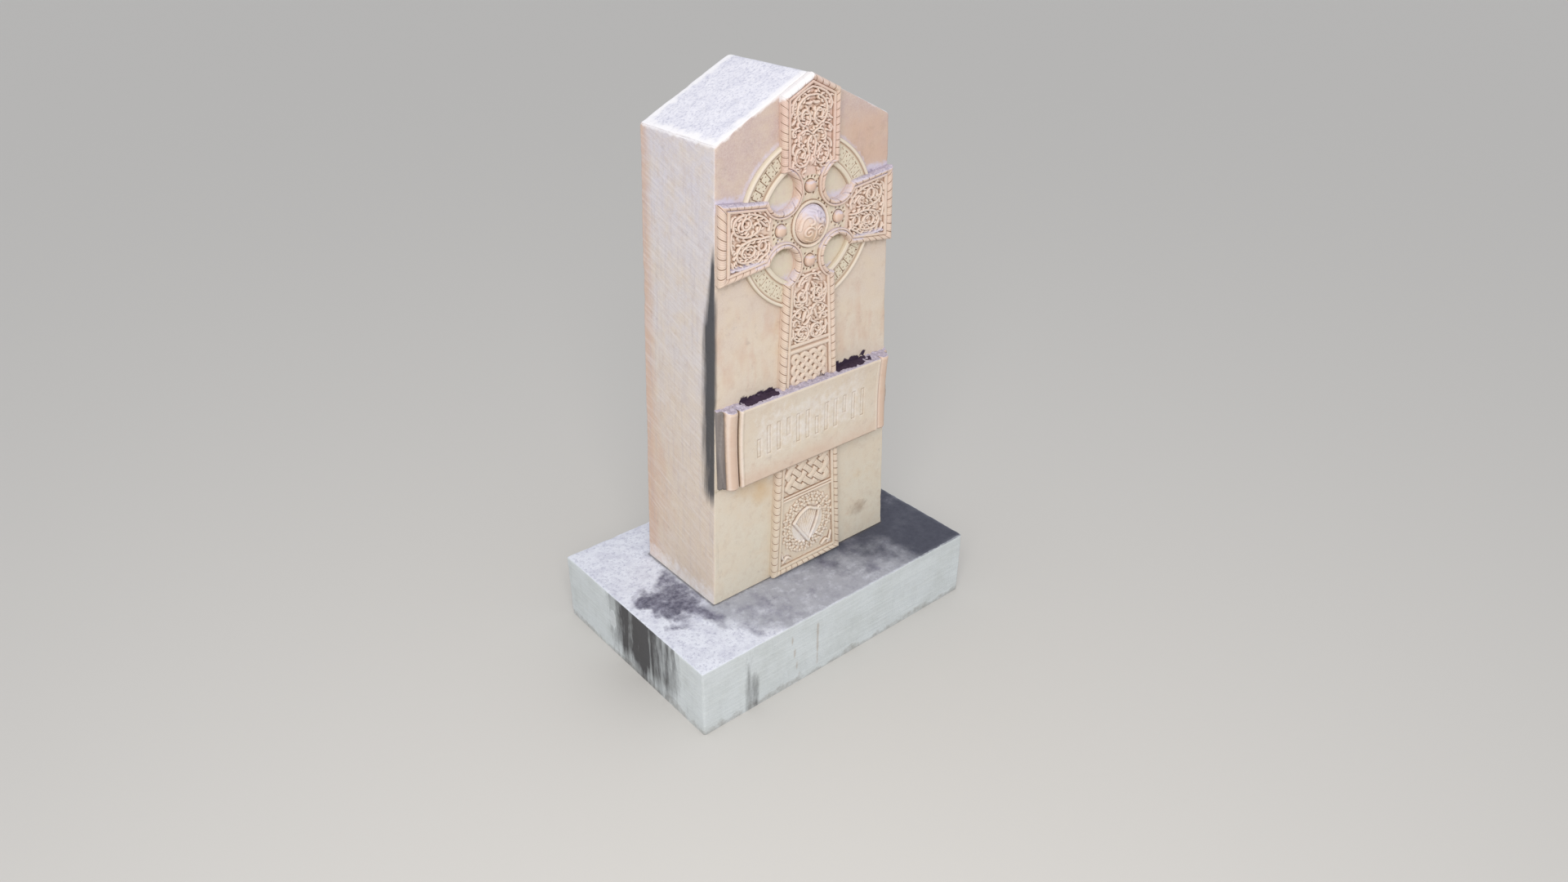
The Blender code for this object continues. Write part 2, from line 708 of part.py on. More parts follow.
def make_tablet():
    """The tablet with all its carving, as one stone."""
    face = [Vector((-half_width(0), 0)), Vector((half_width(0), 0)),
            Vector((SHOULDER_WIDTH / 2, SHOULDER_HEIGHT)), Vector((0, APEX)),
            Vector((-SHOULDER_WIDTH / 2, SHOULDER_HEIGHT))]
    back = [(point.x, point.y, 2 * LEAN * point.y - FOOT_DEPTH) for point in face]
    tablet = as_object(loft([back, at_level(face, 0)]), "tablet", bpy.context.scene.collection)

    carving = tool_group("carving")
    rope_slab(carving)
    fillet_frame(carving)
    wheel(carving)
    bosses(carving)
    dividers(carving)
    plaits(carving)
    shaft_scrolls(carving)
    top_scrolls(carving)
    side_scrolls(carving)
    wreath(harp(carving), carving)
    corner_leaves(carving)
    banner(carving)
    combine(tablet, carving, "UNION")

    cuts = tool_group("cuts")
    stroke_cutters(cuts)
    combine(tablet, cuts, "DIFFERENCE")

    stand = Matrix(((1, 0, 0, TABLET_RIGHT),
                    (0, LEAN, -1, TABLET_BACK - FOOT_DEPTH / 2),
                    (0, 1, 0, BASE_HEIGHT + BED_GAP),
                    (0, 0, 0, 1)))
    bm = bmesh.new()
    bm.from_mesh(tablet.data)
    bmesh.ops.remove_doubles(bm, verts=bm.verts, dist=MERGE)
    bmesh.ops.dissolve_degenerate(bm, edges=bm.edges, dist=MERGE)
    bmesh.ops.transform(bm, matrix=stand, verts=bm.verts)
    bm.to_mesh(tablet.data)
    bm.free()
    tablet.data.materials.append(stone("warm sandstone", (0.6, 0.5, 0.42), 0.9))
    return tablet


def make_base():
    """The base block, with its upright and upper arrises worn back a little."""
    bm = bmesh.new()
    bmesh.ops.create_cube(bm, size=1, matrix=Matrix.Translation((0, 0, BASE_HEIGHT / 2))
                          @ Matrix.Diagonal((BASE_WIDTH, BASE_DEPTH, BASE_HEIGHT, 1)))
    worn = [edge for edge in bm.edges if max(vert.co.z for vert in edge.verts) > BASE_HEIGHT / 2]
    bmesh.ops.bevel(bm, geom=worn, offset=BASE_ARRIS, segments=1, profile=0.5, affect="EDGES",
                    material=-1)
    base = as_object(bm, "base", bpy.context.scene.collection)
    base.data.materials.append(stone("grey limestone", (0.62, 0.63, 0.63), 0.92))
    return base


def main():
    for thing in list(bpy.data.objects):
        bpy.data.objects.remove(thing, do_unlink=True)
    make_base()
    make_tablet()


main()
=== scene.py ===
"""Headstone: the looks of a gabled sandstone tablet with a carved ringed cross, on a limestone base block.

Lengths are in metres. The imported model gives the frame: X along the front, -Y the way the face looks, Z up.
The carving is worked out lying flat, with x across the face, y up it and z proud of it, as in the part's
source, and one sheared move then stands it on the base. A relief is a fine grid whose heights come from
the strands, domes and holes of its pattern.
"""

import math
from collections import namedtuple

import bmesh
import bpy
import numpy as np
from mathutils import Matrix, Vector, noise


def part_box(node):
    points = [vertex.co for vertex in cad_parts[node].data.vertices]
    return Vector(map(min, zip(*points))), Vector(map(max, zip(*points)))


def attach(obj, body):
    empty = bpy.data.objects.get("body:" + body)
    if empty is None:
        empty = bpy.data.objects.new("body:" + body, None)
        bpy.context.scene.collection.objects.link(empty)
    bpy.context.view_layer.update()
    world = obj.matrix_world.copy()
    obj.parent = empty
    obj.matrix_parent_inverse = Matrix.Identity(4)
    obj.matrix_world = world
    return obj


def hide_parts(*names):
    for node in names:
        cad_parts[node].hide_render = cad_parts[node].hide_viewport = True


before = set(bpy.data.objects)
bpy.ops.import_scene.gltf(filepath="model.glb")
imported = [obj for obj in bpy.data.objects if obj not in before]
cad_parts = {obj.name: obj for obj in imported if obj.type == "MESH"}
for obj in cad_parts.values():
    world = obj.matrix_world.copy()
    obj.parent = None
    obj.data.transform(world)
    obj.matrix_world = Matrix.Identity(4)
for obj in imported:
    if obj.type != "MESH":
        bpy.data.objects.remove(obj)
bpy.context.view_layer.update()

bl_info = {
    "name": "Carved headstone",
    "version": (1, 0, 0),
    "blender": (4, 5, 0),
    "location": "View3D > Sidebar > Headstone",
    "description": "Builds a weathered headstone with a ringed cross round its packed model",
    "category": "Object",
}

BASE_LOW, BASE_HIGH = (Vector(corner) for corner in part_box("base"))

# Tablet, as in the part's source
FOOT_WIDTH = 1.0
FOOT_DEPTH = 0.491
SHOULDER_WIDTH = 0.847
SHOULDER_DEPTH = 0.462
SHOULDER_HEIGHT = 1.926
GABLE_RISE = 0.204
TABLET_RIGHT = 0.041
TABLET_BACK = 0.049
BED_GAP = 0.0003
APEX = SHOULDER_HEIGHT + GABLE_RISE
LEAN = (FOOT_DEPTH - SHOULDER_DEPTH) / 2 / SHOULDER_HEIGHT

# Levels of the carving, proud of the tablet's face
SUNK = -0.006
RING_FIELD = 0.0105
RING_TOP = 0.0185
GROUND = 0.019
DIVIDER_TOP = 0.032
FILLET_TOP = 0.033
ROPE_CROWN = 0.038

# Cross
CROSS_CENTRE = 1.575
CROSS_FOOT = 0.01
FACE_SETBACK = 0.002
SHAFT_FOOT_HALF = 0.198
SHAFT_NECK_HALF = 0.127
TOP_ARM_HALF = 0.137
SIDE_ARM_NECK_HALF = 0.125
SIDE_ARM_END_HALF = 0.153
ARMPIT_ACROSS = 0.138
ARMPIT_UP = 0.1425
ARMPIT_RADIUS = 0.072
RING_INNER = 0.233
RING_OUTER = 0.335
RING_OUTER_FILLET = 0.012
RING_INNER_FILLET = 0.018
ROPE_WIDTH = 0.028
FILLET_WIDTH = 0.012
HOLLOW_BORDER = 0.65
ARM_BORDER = 0.82
ARM_END_BORDER = 1.15

# Panels down the cross
HARP_PANEL = 0.3765
LOW_DIVIDER = 0.023
SCROLL_PANEL_FOOT = 1.1
HIGH_DIVIDER = 0.04
BANNER_FOOT = 0.565
BANNER_HEIGHT = 0.35
BANNER_FACE_HALF = 0.384
BANNER_FRONT = 0.054
ROLL_WIDTH = 0.054
TAIL_WIDTH = 0.024
BANNER_TOP_CURL = 0.013
BANNER_FOOT_CURL = 0.006
STROKES = 12
STROKE_PITCH = 0.052
STROKE_HALF = 0.0085
STROKE_HEIGHT = 0.127

# Boss, studs, plaits and harp
BOSS_RADIUS = 0.0755
BOSS_FOOT = 0.076
BOSS_CROWN = 0.062
BOSS_INNER = 0.072
BOSS_SINK = 0.0055
STUD_OUT = 0.145
STUD_RADIUS = 0.0245
STUD_CROWN = 0.042
PLAIT_COLUMNS = 4
PLAIT_MARGIN = 0.008
LOW_PLAIT = {"cell": 0.0607, "band": 0.028, "rows": 4}
HIGH_PLAIT = {"cell": 0.0465, "band": 0.021, "rows": 5}
HARP_CENTRE = (0.004, 0.222)
HARP_OVAL = (0.094, 0.1)
WREATH_WIDTH = 0.237
WREATH_HEIGHT = 0.238
STRINGS = 11
FRET_CELL = 0.034
FRET_DEPTH = 0.0045

# How the strands, leaves and grooves are cut
STRAND_RISE = 0.0125
LEAF_PITCH = 0.0135
LEAF_BEND = 0.0006
LEAF_DROPS = (0, -0.0016, 0, 0, -0.0016)
LEAF_MIN_RUN = 0.05
PLAIT_LIFT = 0.0016
LEVEL_STEP = 4e-4
GROOVE_DEPTH = 0.004
GROOVE_REACH = 1.16
HOLLOW_DEPTH = 0.005
ROPE_LEAN = 0.62
ROPE_STRANDS = 4
DEEP_CUT = 0.0026
FINE_CUT = 0.0011

# Cells of the grids
PLAIT_CELL = 0.0015
BANNER_CELL = 0.0026
BLOCK_CELL = 0.013

# Inner edge of the border, which laps over the panels
PANEL_INSET = ROPE_WIDTH + FILLET_WIDTH * 0.45

# Masks that the materials read; besides weathering, some carry painted shade and a painted highlight.
MASKS = ("side", "warm", "cream", "stain", "smudge", "moss", "dust", "bleach", "crust", "soot", "lichen", "grey")

Edge = namedtuple("Edge", "start end centre border side")
Strand = namedtuple("Strand", "path width rise lift")


def half_width(height):
    """Half the tablet's width at a height above its foot."""
    return (FOOT_WIDTH - (FOOT_WIDTH - SHOULDER_WIDTH) * height / SHOULDER_HEIGHT) / 2


def shaft_half(height):
    """Half the width of the cross's shaft, which spreads towards its foot."""
    neck = CROSS_CENTRE - ARMPIT_UP - ARMPIT_RADIUS
    return SHAFT_NECK_HALF + (SHAFT_FOOT_HALF - SHAFT_NECK_HALF) * (neck - height) / (neck - CROSS_FOOT)


def gable_height(across):
    """Height of the gable's slope at a distance from the middle."""
    return APEX - GABLE_RISE * abs(across) / (SHOULDER_WIDTH / 2)


def harp_oval(across, up):
    """How far out a place lies from the harp's middle, as a share of the oval that it stands on."""
    return np.hypot((across - HARP_CENTRE[0]) / HARP_OVAL[0], (up - HARP_CENTRE[1]) / HARP_OVAL[1])


def standing():
    """The sheared move that stands the flat carving up on the base."""
    return Matrix(((1, 0, 0, TABLET_RIGHT),
                   (0, LEAN, -1, TABLET_BACK - FOOT_DEPTH / 2),
                   (0, 1, 0, BASE_HIGH.z + BED_GAP),
                   (0, 0, 0, 1)))


def fade(value, low, high):
    """A smooth rise from 0 at low to 1 at high, for numbers or arrays."""
    share = np.clip((value - low) / (high - low), 0, 1)
    return share * share * (3 - 2 * share)


def window(value, low, high, soft):
    """1 between two bounds, fading to 0 outside them."""
    return fade(value, low - soft, low + soft) * (1 - fade(value, high - soft, high + soft))


# Meshes

def rolling(points, scale, seed, depth=3):
    """Smooth noise at many places, from about -1 to 1."""
    shift = Vector((seed, seed * 1.7, seed * 0.6))
    return np.array([noise.fractal(Vector(point) * scale + shift, 0.6, 2.0, depth) for point in points])


def as_piece(bm, name, node, material, kind):
    """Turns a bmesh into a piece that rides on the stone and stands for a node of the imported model."""
    bmesh.ops.recalc_face_normals(bm, faces=bm.faces)
    mesh = bpy.data.meshes.new(name)
    bm.to_mesh(mesh)
    bm.free()
    mesh.polygons.foreach_set("use_smooth", [True] * len(mesh.polygons))
    mesh.materials.append(material)
    weather(mesh, kind)
    piece = bpy.data.objects.new(name, mesh)
    bpy.context.scene.collection.objects.link(piece)
    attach(piece, "root")
    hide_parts(node)
    return piece


def relief(across, up, heights, keep=None, floor=SUNK, skirt_cuts=0):
    """A closed solid with a carved top: grid points at (across, up, heights) and a flat underside."""
    rows, columns = heights.shape[0] - 1, heights.shape[1] - 1
    bm = bmesh.new()
    bmesh.ops.create_grid(bm, x_segments=columns, y_segments=rows, size=0.5)
    bm.verts.index_update()
    # A layer of painted shading: the material paints shade into the carving's hollows and a pale highlight onto its
    # crests.
    cavity = bm.verts.layers.float.new("cavity")
    cell = up[1, 0] - up[0, 0] or 0.002
    hollow = hollowness(heights, max(2, round(0.005 / abs(cell))))
    spots = np.stack([across, up, heights], -1).reshape(-1, 3).tolist()
    for vert, spot, depth in zip(bm.verts, spots, hollow.ravel().tolist()):
        vert.co = spot
        vert[cavity] = depth
    if keep is not None:
        stray = []
        for face in bm.faces:
            corner = min(vert.index for vert in face.verts)
            if not keep[corner // (columns + 1), corner % (columns + 1)]:
                stray.append(face)
        bmesh.ops.delete(bm, geom=stray, context="FACES")
    rim = [edge for edge in bm.edges if edge.is_boundary]
    skirt = bmesh.ops.extrude_edge_only(bm, edges=rim)["geom"]
    lowered = [item for item in skirt if isinstance(item, bmesh.types.BMVert)]
    for vert in lowered:
        vert.co.z = floor
    bmesh.ops.holes_fill(bm, edges=[edge for edge in bm.edges if edge.is_boundary], sides=0)
    if skirt_cuts:
        lowered = set(lowered)
        risers = [edge for edge in bm.edges if (edge.verts[0] in lowered) != (edge.verts[1] in lowered)]
        bmesh.ops.subdivide_edges(bm, edges=risers, cuts=skirt_cuts, use_grid_fill=True)
    return bm


def blurred(heights, reach):
    """The heights averaged over a square of cells, for telling hollows from crests."""
    padded = np.pad(heights, reach, mode="edge")
    for axis in (0, 1):
        total = np.cumsum(padded, axis=axis)
        total = np.concatenate([np.zeros_like(total.take([0], axis)), total], axis)
        size = 2 * reach + 1
        first = total.take(range(total.shape[axis] - size), axis)
        last = total.take(range(size, total.shape[axis]), axis)
        padded = (last - first) / size
    return padded


def hollowness(heights, reach):
    """How far each place of a relief lies below its surroundings, from -1 on a crest to 1 in a hole: the share of
    painted highlight on crests and of painted shade in holes.
    """
    wide = blurred(blurred(heights, reach), reach)
    return np.clip((wide - heights) / HOLLOW_DEPTH, -1, 1)


# Patterns

def spiral(centre, first, last, start, end, tall=1.0):
    """Points round a centre, from one radius and angle in degrees to another; tall stretches them."""
    steps = max(12, round(abs(end - start) / 12))
    share = np.linspace(0, 1, steps + 1)
    angle = np.radians(start + (end - start) * share)
    radius = first + (last - first) * share
    return np.stack([centre[0] + radius * np.cos(angle), centre[1] + radius * np.sin(angle) * tall], -1)


def smooth(knots, steps=8):
    """A smooth curve through knots."""
    knots = [np.array(knot, float) for knot in knots]
    ends = [knots[0] * 2 - knots[1]] + knots + [knots[-1] * 2 - knots[-2]]
    points = []
    for a, b, c, d in zip(ends, ends[1:], ends[2:], ends[3:]):
        for k in range(steps):
            t = k / steps
            points.append((b * 2 + (c - a) * t + (a * 2 - b * 5 + c * 4 - d) * t ** 2
                           + (b * 3 - a - c * 3 + d) * t ** 3) / 2)
    return np.array(points + [knots[-1]])


def strand(path, width, rise, tip=1.0, lift=None):
    """A strand of even width, or with ends drawn in to a share of it."""
    share = np.linspace(-1, 1, len(path))
    widths = width * (tip + (1 - tip) * np.sqrt(1 - share ** 2))
    return Strand(path, widths, rise, np.zeros(len(path)) if lift is None else lift)


def hoop(centre, wide, tall):
    """Knots of a closed ring or oval."""
    turns = [k * math.tau / 8 for k in range(9)]
    return [(centre[0] + wide * math.cos(turn), centre[1] + tall * math.sin(turn)) for turn in turns]


def laid(table, height=0.0):
    """Strands from a table of widths, tips and knots, each a little higher or lower than the next."""
    strands = []
    for k, (width, tip, knots) in enumerate(table):
        path = smooth([(across, up + height) for across, up in knots])
        strands.append(strand(path, width * 0.88, STRAND_RISE, tip, np.full(len(path), (k % 3) * 0.0009)))
    return strands


def leafy(strands):
    """Small leaves that spring from both edges of long strands and fill the ground between them."""
    leaves = []
    for item in strands:
        along = np.concatenate([[0], np.cumsum(np.linalg.norm(np.diff(item.path, axis=0), axis=1))])
        if along[-1] < LEAF_MIN_RUN:
            continue
        for k in range(1, int(along[-1] / LEAF_PITCH)):
            spot, soon, later = [np.array([np.interp(k * LEAF_PITCH + further, along, item.path[:, axis])
                                           for axis in (0, 1)]) for further in (0, 0.002, 0.006)]
            ahead = (soon - spot) / 0.002
            bend = ahead[0] * (later - spot)[1] - ahead[1] * (later - spot)[0]
            outer = -math.copysign(1, bend) if abs(bend) > LEAF_BEND else 1 if k % 2 else -1
            aside = np.array([-ahead[1], ahead[0]]) * outer
            knots = [spot + aside * 0.002, spot + ahead * 0.005 + aside * 0.010, spot + ahead * 0.014 + aside * 0.014]
            path = smooth(knots, 4)
            lift = item.lift[0] + LEAF_DROPS[k % len(LEAF_DROPS)]
            leaves.append(strand(path, 0.0090, STRAND_RISE * 0.92, 0.2, np.full(len(path), lift)))
    return leaves


def both_sides(strands):
    """The strands and their mirror images across the cross's middle line."""
    return strands + [item._replace(path=item.path * (-1, 1)) for item in strands]


def nearest(x, y, item):
    """Distance from each place to a strand, with its width and lift there."""
    distance = np.full(x.shape, 1e3)
    width = np.zeros(x.shape)
    lift = np.zeros(x.shape)
    for k in range(len(item.path) - 1):
        start, step = item.path[k], item.path[k + 1] - item.path[k]
        share = ((x - start[0]) * step[0] + (y - start[1]) * step[1]) / max(step @ step, 1e-12)
        share = np.clip(share, 0, 1)
        gap = np.hypot(x - start[0] - step[0] * share, y - start[1] - step[1] * share)
        near = gap < distance
        distance = np.where(near, gap, distance)
        width = np.where(near, item.width[k] + (item.width[k + 1] - item.width[k]) * share, width)
        lift = np.where(near, item.lift[k] + (item.lift[k + 1] - item.lift[k]) * share, lift)
    return distance, width, lift


def carve(x, y, heights, strands, gap=0.004, channel=0.0, rail=0.0, flat=4):
    """Raises strands on a relief. Where two cross, the lifted one rides over and the other dives."""
    top = np.full(x.shape, -1e3)
    ground = heights.copy()
    for item in strands:
        reach = item.width.max() / 2 + gap + 0.002
        low, high = item.path.min(0) - reach, item.path.max(0) + reach
        rows = np.flatnonzero((y[:, 0] > low[1]) & (y[:, 0] < high[1]))
        columns = np.flatnonzero((x[0] > low[0]) & (x[0] < high[0]))
        if not len(rows) or not len(columns):
            continue
        part = np.s_[rows[0]:rows[-1] + 1, columns[0]:columns[-1] + 1]
        distance, width, lift = nearest(x[part], y[part], item)
        share = distance / np.maximum(width / 2, 1e-4)
        body = np.sqrt(np.clip(1 - share ** flat, 0, 1)) * (0.8 + 0.2 * np.clip(1 - share ** 2, 0, 1))
        cut = channel * (1 - fade(abs(distance - rail), 0.0004, 0.0020)) * fade(width, 0.007, 0.010)
        made = ground[part] + np.where(share < 1, (item.rise + lift) * body - cut, 0)
        inside = share < 1
        reached = distance < width / 2 + gap
        over = reached & (lift > top[part] + LEVEL_STEP)
        level = inside & ~over & (abs(lift - top[part]) <= LEVEL_STEP)
        heights[part] = np.where(over, made, np.where(level, np.maximum(heights[part], made), heights[part]))
        top[part] = np.where(over, lift, top[part])
    return heights


def add_dome(x, y, heights, centre, radius, level, crown):
    """Raises a round boss on a relief, with a narrow groove round its foot."""
    share = np.hypot(x - centre[0], y - centre[1]) / radius
    round_top = level + (crown - level) * np.sqrt(np.clip(1 - share ** 2, 0, 1))
    inside = share < 1
    out = (np.clip(share, 1, GROOVE_REACH) - 1) / (GROOVE_REACH - 1)
    groove = np.where(share < GROOVE_REACH, GROOVE_DEPTH * np.cos(out * math.pi / 2), 0)
    return np.where(inside, np.maximum(heights, round_top), heights - groove)


def drill(x, y, heights, spots, radius, depth):
    """Drills small round holes into a relief."""
    for spot in spots:
        away = np.hypot(x - spot[0], y - spot[1])
        heights = heights - depth * (1 - fade(away, radius * 0.55, radius * 1.25))
    return heights


def grid(left, right, low, high, cell):
    """Grid points of a flat panel, as two arrays."""
    columns = round((right - left) / cell)
    rows = round((high - low) / cell)
    return np.meshgrid(np.linspace(left, right, columns + 1), np.linspace(low, high, rows + 1))


def inside_polygon(x, y, points):
    """Which places lie inside a polygon."""
    odd = np.zeros(x.shape, bool)
    for (ax, ay), (bx, by) in zip(points, points[1:] + points[:1]):
        if ay != by:
            cross = (ay > y) != (by > y)
            odd ^= cross & (x < ax + (y - ay) * (bx - ax) / (by - ay))
    return odd


def kept_cells(mask):
    """Cells of a grid that have all four corners in a mask."""
    whole = np.zeros(mask.shape, bool)
    whole[:-1, :-1] = mask[:-1, :-1] & mask[1:, :-1] & mask[:-1, 1:] & mask[1:, 1:]
    return whole


# Cross

def cross_edges():
    """The cross's outline, anticlockwise from its foot: straight edges and the four round hollows."""
    def turned(edge):
        centre = edge.centre and Vector((-edge.centre.x, edge.centre.y))
        return Edge(Vector((-edge.end.x, edge.end.y)), Vector((-edge.start.x, edge.start.y)),
                    centre, edge.border, -edge.side)

    def arm_end(sign):
        height = CROSS_CENTRE + sign * SIDE_ARM_END_HALF
        return Vector((half_width(height) - FACE_SETBACK, height))

    def arm_neck(sign):
        return Vector((ARMPIT_ACROSS + ARMPIT_RADIUS, CROSS_CENTRE + sign * SIDE_ARM_NECK_HALF))

    eave = Vector((TOP_ARM_HALF, gable_height(TOP_ARM_HALF) - FACE_SETBACK))
    top_neck = Vector((TOP_ARM_HALF, CROSS_CENTRE + ARMPIT_UP))
    foot = Vector((SHAFT_FOOT_HALF, CROSS_FOOT))
    neck = Vector((SHAFT_NECK_HALF, CROSS_CENTRE - ARMPIT_UP - ARMPIT_RADIUS))
    low_hollow = Vector((ARMPIT_ACROSS, CROSS_CENTRE - ARMPIT_UP))
    high_hollow = Vector((ARMPIT_ACROSS, CROSS_CENTRE + ARMPIT_UP))
    right = [
        Edge(foot, neck, None, 1, 1),
        Edge(neck, arm_neck(-1), low_hollow, HOLLOW_BORDER, 1),
        Edge(arm_neck(-1), arm_end(-1), None, ARM_BORDER, 1),
        Edge(arm_end(-1), arm_end(1), None, ARM_END_BORDER, 1),
        Edge(arm_end(1), arm_neck(1), None, ARM_BORDER, 1),
        Edge(arm_neck(1), top_neck, high_hollow, HOLLOW_BORDER, 1),
        Edge(top_neck, eave, None, ARM_BORDER, 1),
        Edge(eave, Vector((0, APEX - FACE_SETBACK)), None, ARM_BORDER, 1),
    ]
    bottom = Edge(Vector((-foot.x, foot.y)), foot, None, 1, 1)
    return [bottom] + right + [turned(edge) for edge in reversed(right)]


def shifted(edge, inset):
    """An edge moved into the cross: a point and a direction, or the hollow's centre and radius."""
    if edge.centre:
        return edge.centre, ARMPIT_RADIUS + inset * edge.border
    along = (edge.end - edge.start).normalized()
    return edge.start + Vector((-along.y, along.x)) * inset * edge.border, along


def corner(first, second, inset):
    """Where two neighbouring edges meet once both have moved into the cross."""
    if first.centre or second.centre:
        line, hollow = (second, first) if first.centre else (first, second)
        point, along = shifted(line, inset)
        centre, radius = shifted(hollow, inset)
        middle = along.dot(centre - point)
        across = (point + along * middle - centre).length
        reach = math.sqrt(max(radius ** 2 - across ** 2, 0))
        meets = [point + along * (middle + sign * reach) for sign in (-1, 1)]
        return max(meets, key=lambda place: (place - Vector((0, CROSS_CENTRE))).length)
    point, along = shifted(first, inset)
    other, way = shifted(second, inset)
    gap = other - point
    return point + along * (gap.cross(way) / along.cross(way))


def edge_length(edge):
    """Length of an edge of the cross, round the hollow if it is one."""
    if not edge.centre:
        return (edge.end - edge.start).length
    first = math.atan2(*(edge.start - edge.centre).yx)
    last = math.atan2(*(edge.end - edge.centre).yx)
    return ((first - last) % math.tau) * ARMPIT_RADIUS


def outline(inset, step):
    """The cross's outline moved in by a distance: places, and the rope's turn and lean at each."""
    edges = cross_edges()
    corners = [corner(edges[k - 1], edge, inset) for k, edge in enumerate(edges)]
    places, turns = [], []
    for k, edge in enumerate(edges):
        start, end = corners[k], corners[(k + 1) % len(edges)]
        length = edge_length(edge)
        steps = max(2, round(length / step))
        strands = max(1, round(length / frame_sizes().rope_pitch))
        for n in range(steps):
            share = n / steps
            if edge.centre:
                first = math.atan2(*(start - edge.centre).yx)
                last = math.atan2(*(end - edge.centre).yx)
                angle = first - ((first - last) % math.tau) * share
                radius = (start - edge.centre).length
                places.append(edge.centre + Vector((math.cos(angle), math.sin(angle))) * radius)
            else:
                places.append(start.lerp(end, share))
            turns.append((share * strands, edge.side))
    return places, turns


def frame_sizes():
    """The sizes that the sidebar offers."""
    return bpy.context.scene.headstone_sizes


def rope_cut(turn, side, around):
    """How deep the rope's grooves are cut at a place: a deep one per strand group, finer ones between."""
    phase = (turn + side * ROPE_LEAN * around) % 1
    deep = abs(2 * phase - 1)
    fine = abs(2 * ((phase * ROPE_STRANDS) % 1) - 1)
    return DEEP_CUT * float(fade(deep, 0.84, 0.98)) + FINE_CUT * fine ** 3


def border(step):
    """The rope over the cross's edge and the fillet inside it, swept as one closed section."""
    middle, crown = ROPE_WIDTH / 2, 0.019
    section = [(0.003, SUNK, None), (0.0025, 0.006, None)]
    section += [(math.radians(212 - 222 * k / 12), None, k / 12) for k in range(13)]
    section += [
        (ROPE_WIDTH + 0.0004, 0.0265, None), (ROPE_WIDTH + 0.0014, 0.0322, None),
        (ROPE_WIDTH + 0.003, FILLET_TOP, None), (ROPE_WIDTH + FILLET_WIDTH - 0.002, FILLET_TOP, None),
        (ROPE_WIDTH + FILLET_WIDTH, 0.0312, None), (ROPE_WIDTH + FILLET_WIDTH + 0.0004, 0.017, None),
        (ROPE_WIDTH + FILLET_WIDTH, SUNK, None), (0.003, SUNK, None),
    ]
    rings, depths = [], []
    for across, height, around in section:
        inset = across if around is None else middle + middle * math.cos(across)
        places, turns = outline(inset, step)
        if around is None:
            ring = [(place.x, place.y, height) for place in places]
            # The fillet's inner wall, down to the panels, gets painted shade.
            depth = [0.8 if across > ROPE_WIDTH + FILLET_WIDTH else 0.0] * len(ring)
        else:
            cuts = [rope_cut(turn, side, around) for turn, side in turns]
            ring = [(place.x, place.y, crown + (ROPE_CROWN - crown - cut) * math.sin(across))
                    for place, cut in zip(places, cuts)]
            # The rope's grooves get painted shade, darker where the cut is deeper.
            depth = [min(cut / 0.0034, 1) for cut in cuts]
        rings.append(ring + ring[:1])
        depths.append(depth + depth[:1])
    bm = bmesh.new()
    bmesh.ops.create_grid(bm, x_segments=len(rings[0]) - 1, y_segments=len(rings) - 1, size=0.5)
    cavity = bm.verts.layers.float.new("cavity")
    for vert, spot, depth in zip(bm.verts, sum(rings, []), sum(depths, [])):
        vert.co = spot
        vert[cavity] = depth
    bmesh.ops.remove_doubles(bm, verts=bm.verts, dist=1e-6)
    return bm


# Weathering

def weather(mesh, kind):
    """Writes where soot, dust, lichen and stains lie on a piece, and where shade and highlights are painted, for its
    material to read.
    """
    spots = np.empty(len(mesh.vertices) * 3)
    mesh.vertices.foreach_get("co", spots)
    spots = spots.reshape(-1, 3)
    ways = np.empty(len(mesh.vertices) * 3)
    mesh.vertex_normals.foreach_get("vector", ways)
    ways = ways.reshape(-1, 3)
    masks = base_weather(spots, ways) if kind == "base" else tablet_weather(spots, ways, kind)
    for name in MASKS:
        layer = mesh.attributes.new(name, "FLOAT", "POINT")
        value = np.clip(masks.get(name, np.zeros(len(spots))), 0, 1).astype(np.float32)
        layer.data.foreach_set("value", value)
    if "cavity" not in mesh.attributes:
        mesh.attributes.new("cavity", "FLOAT", "POINT")


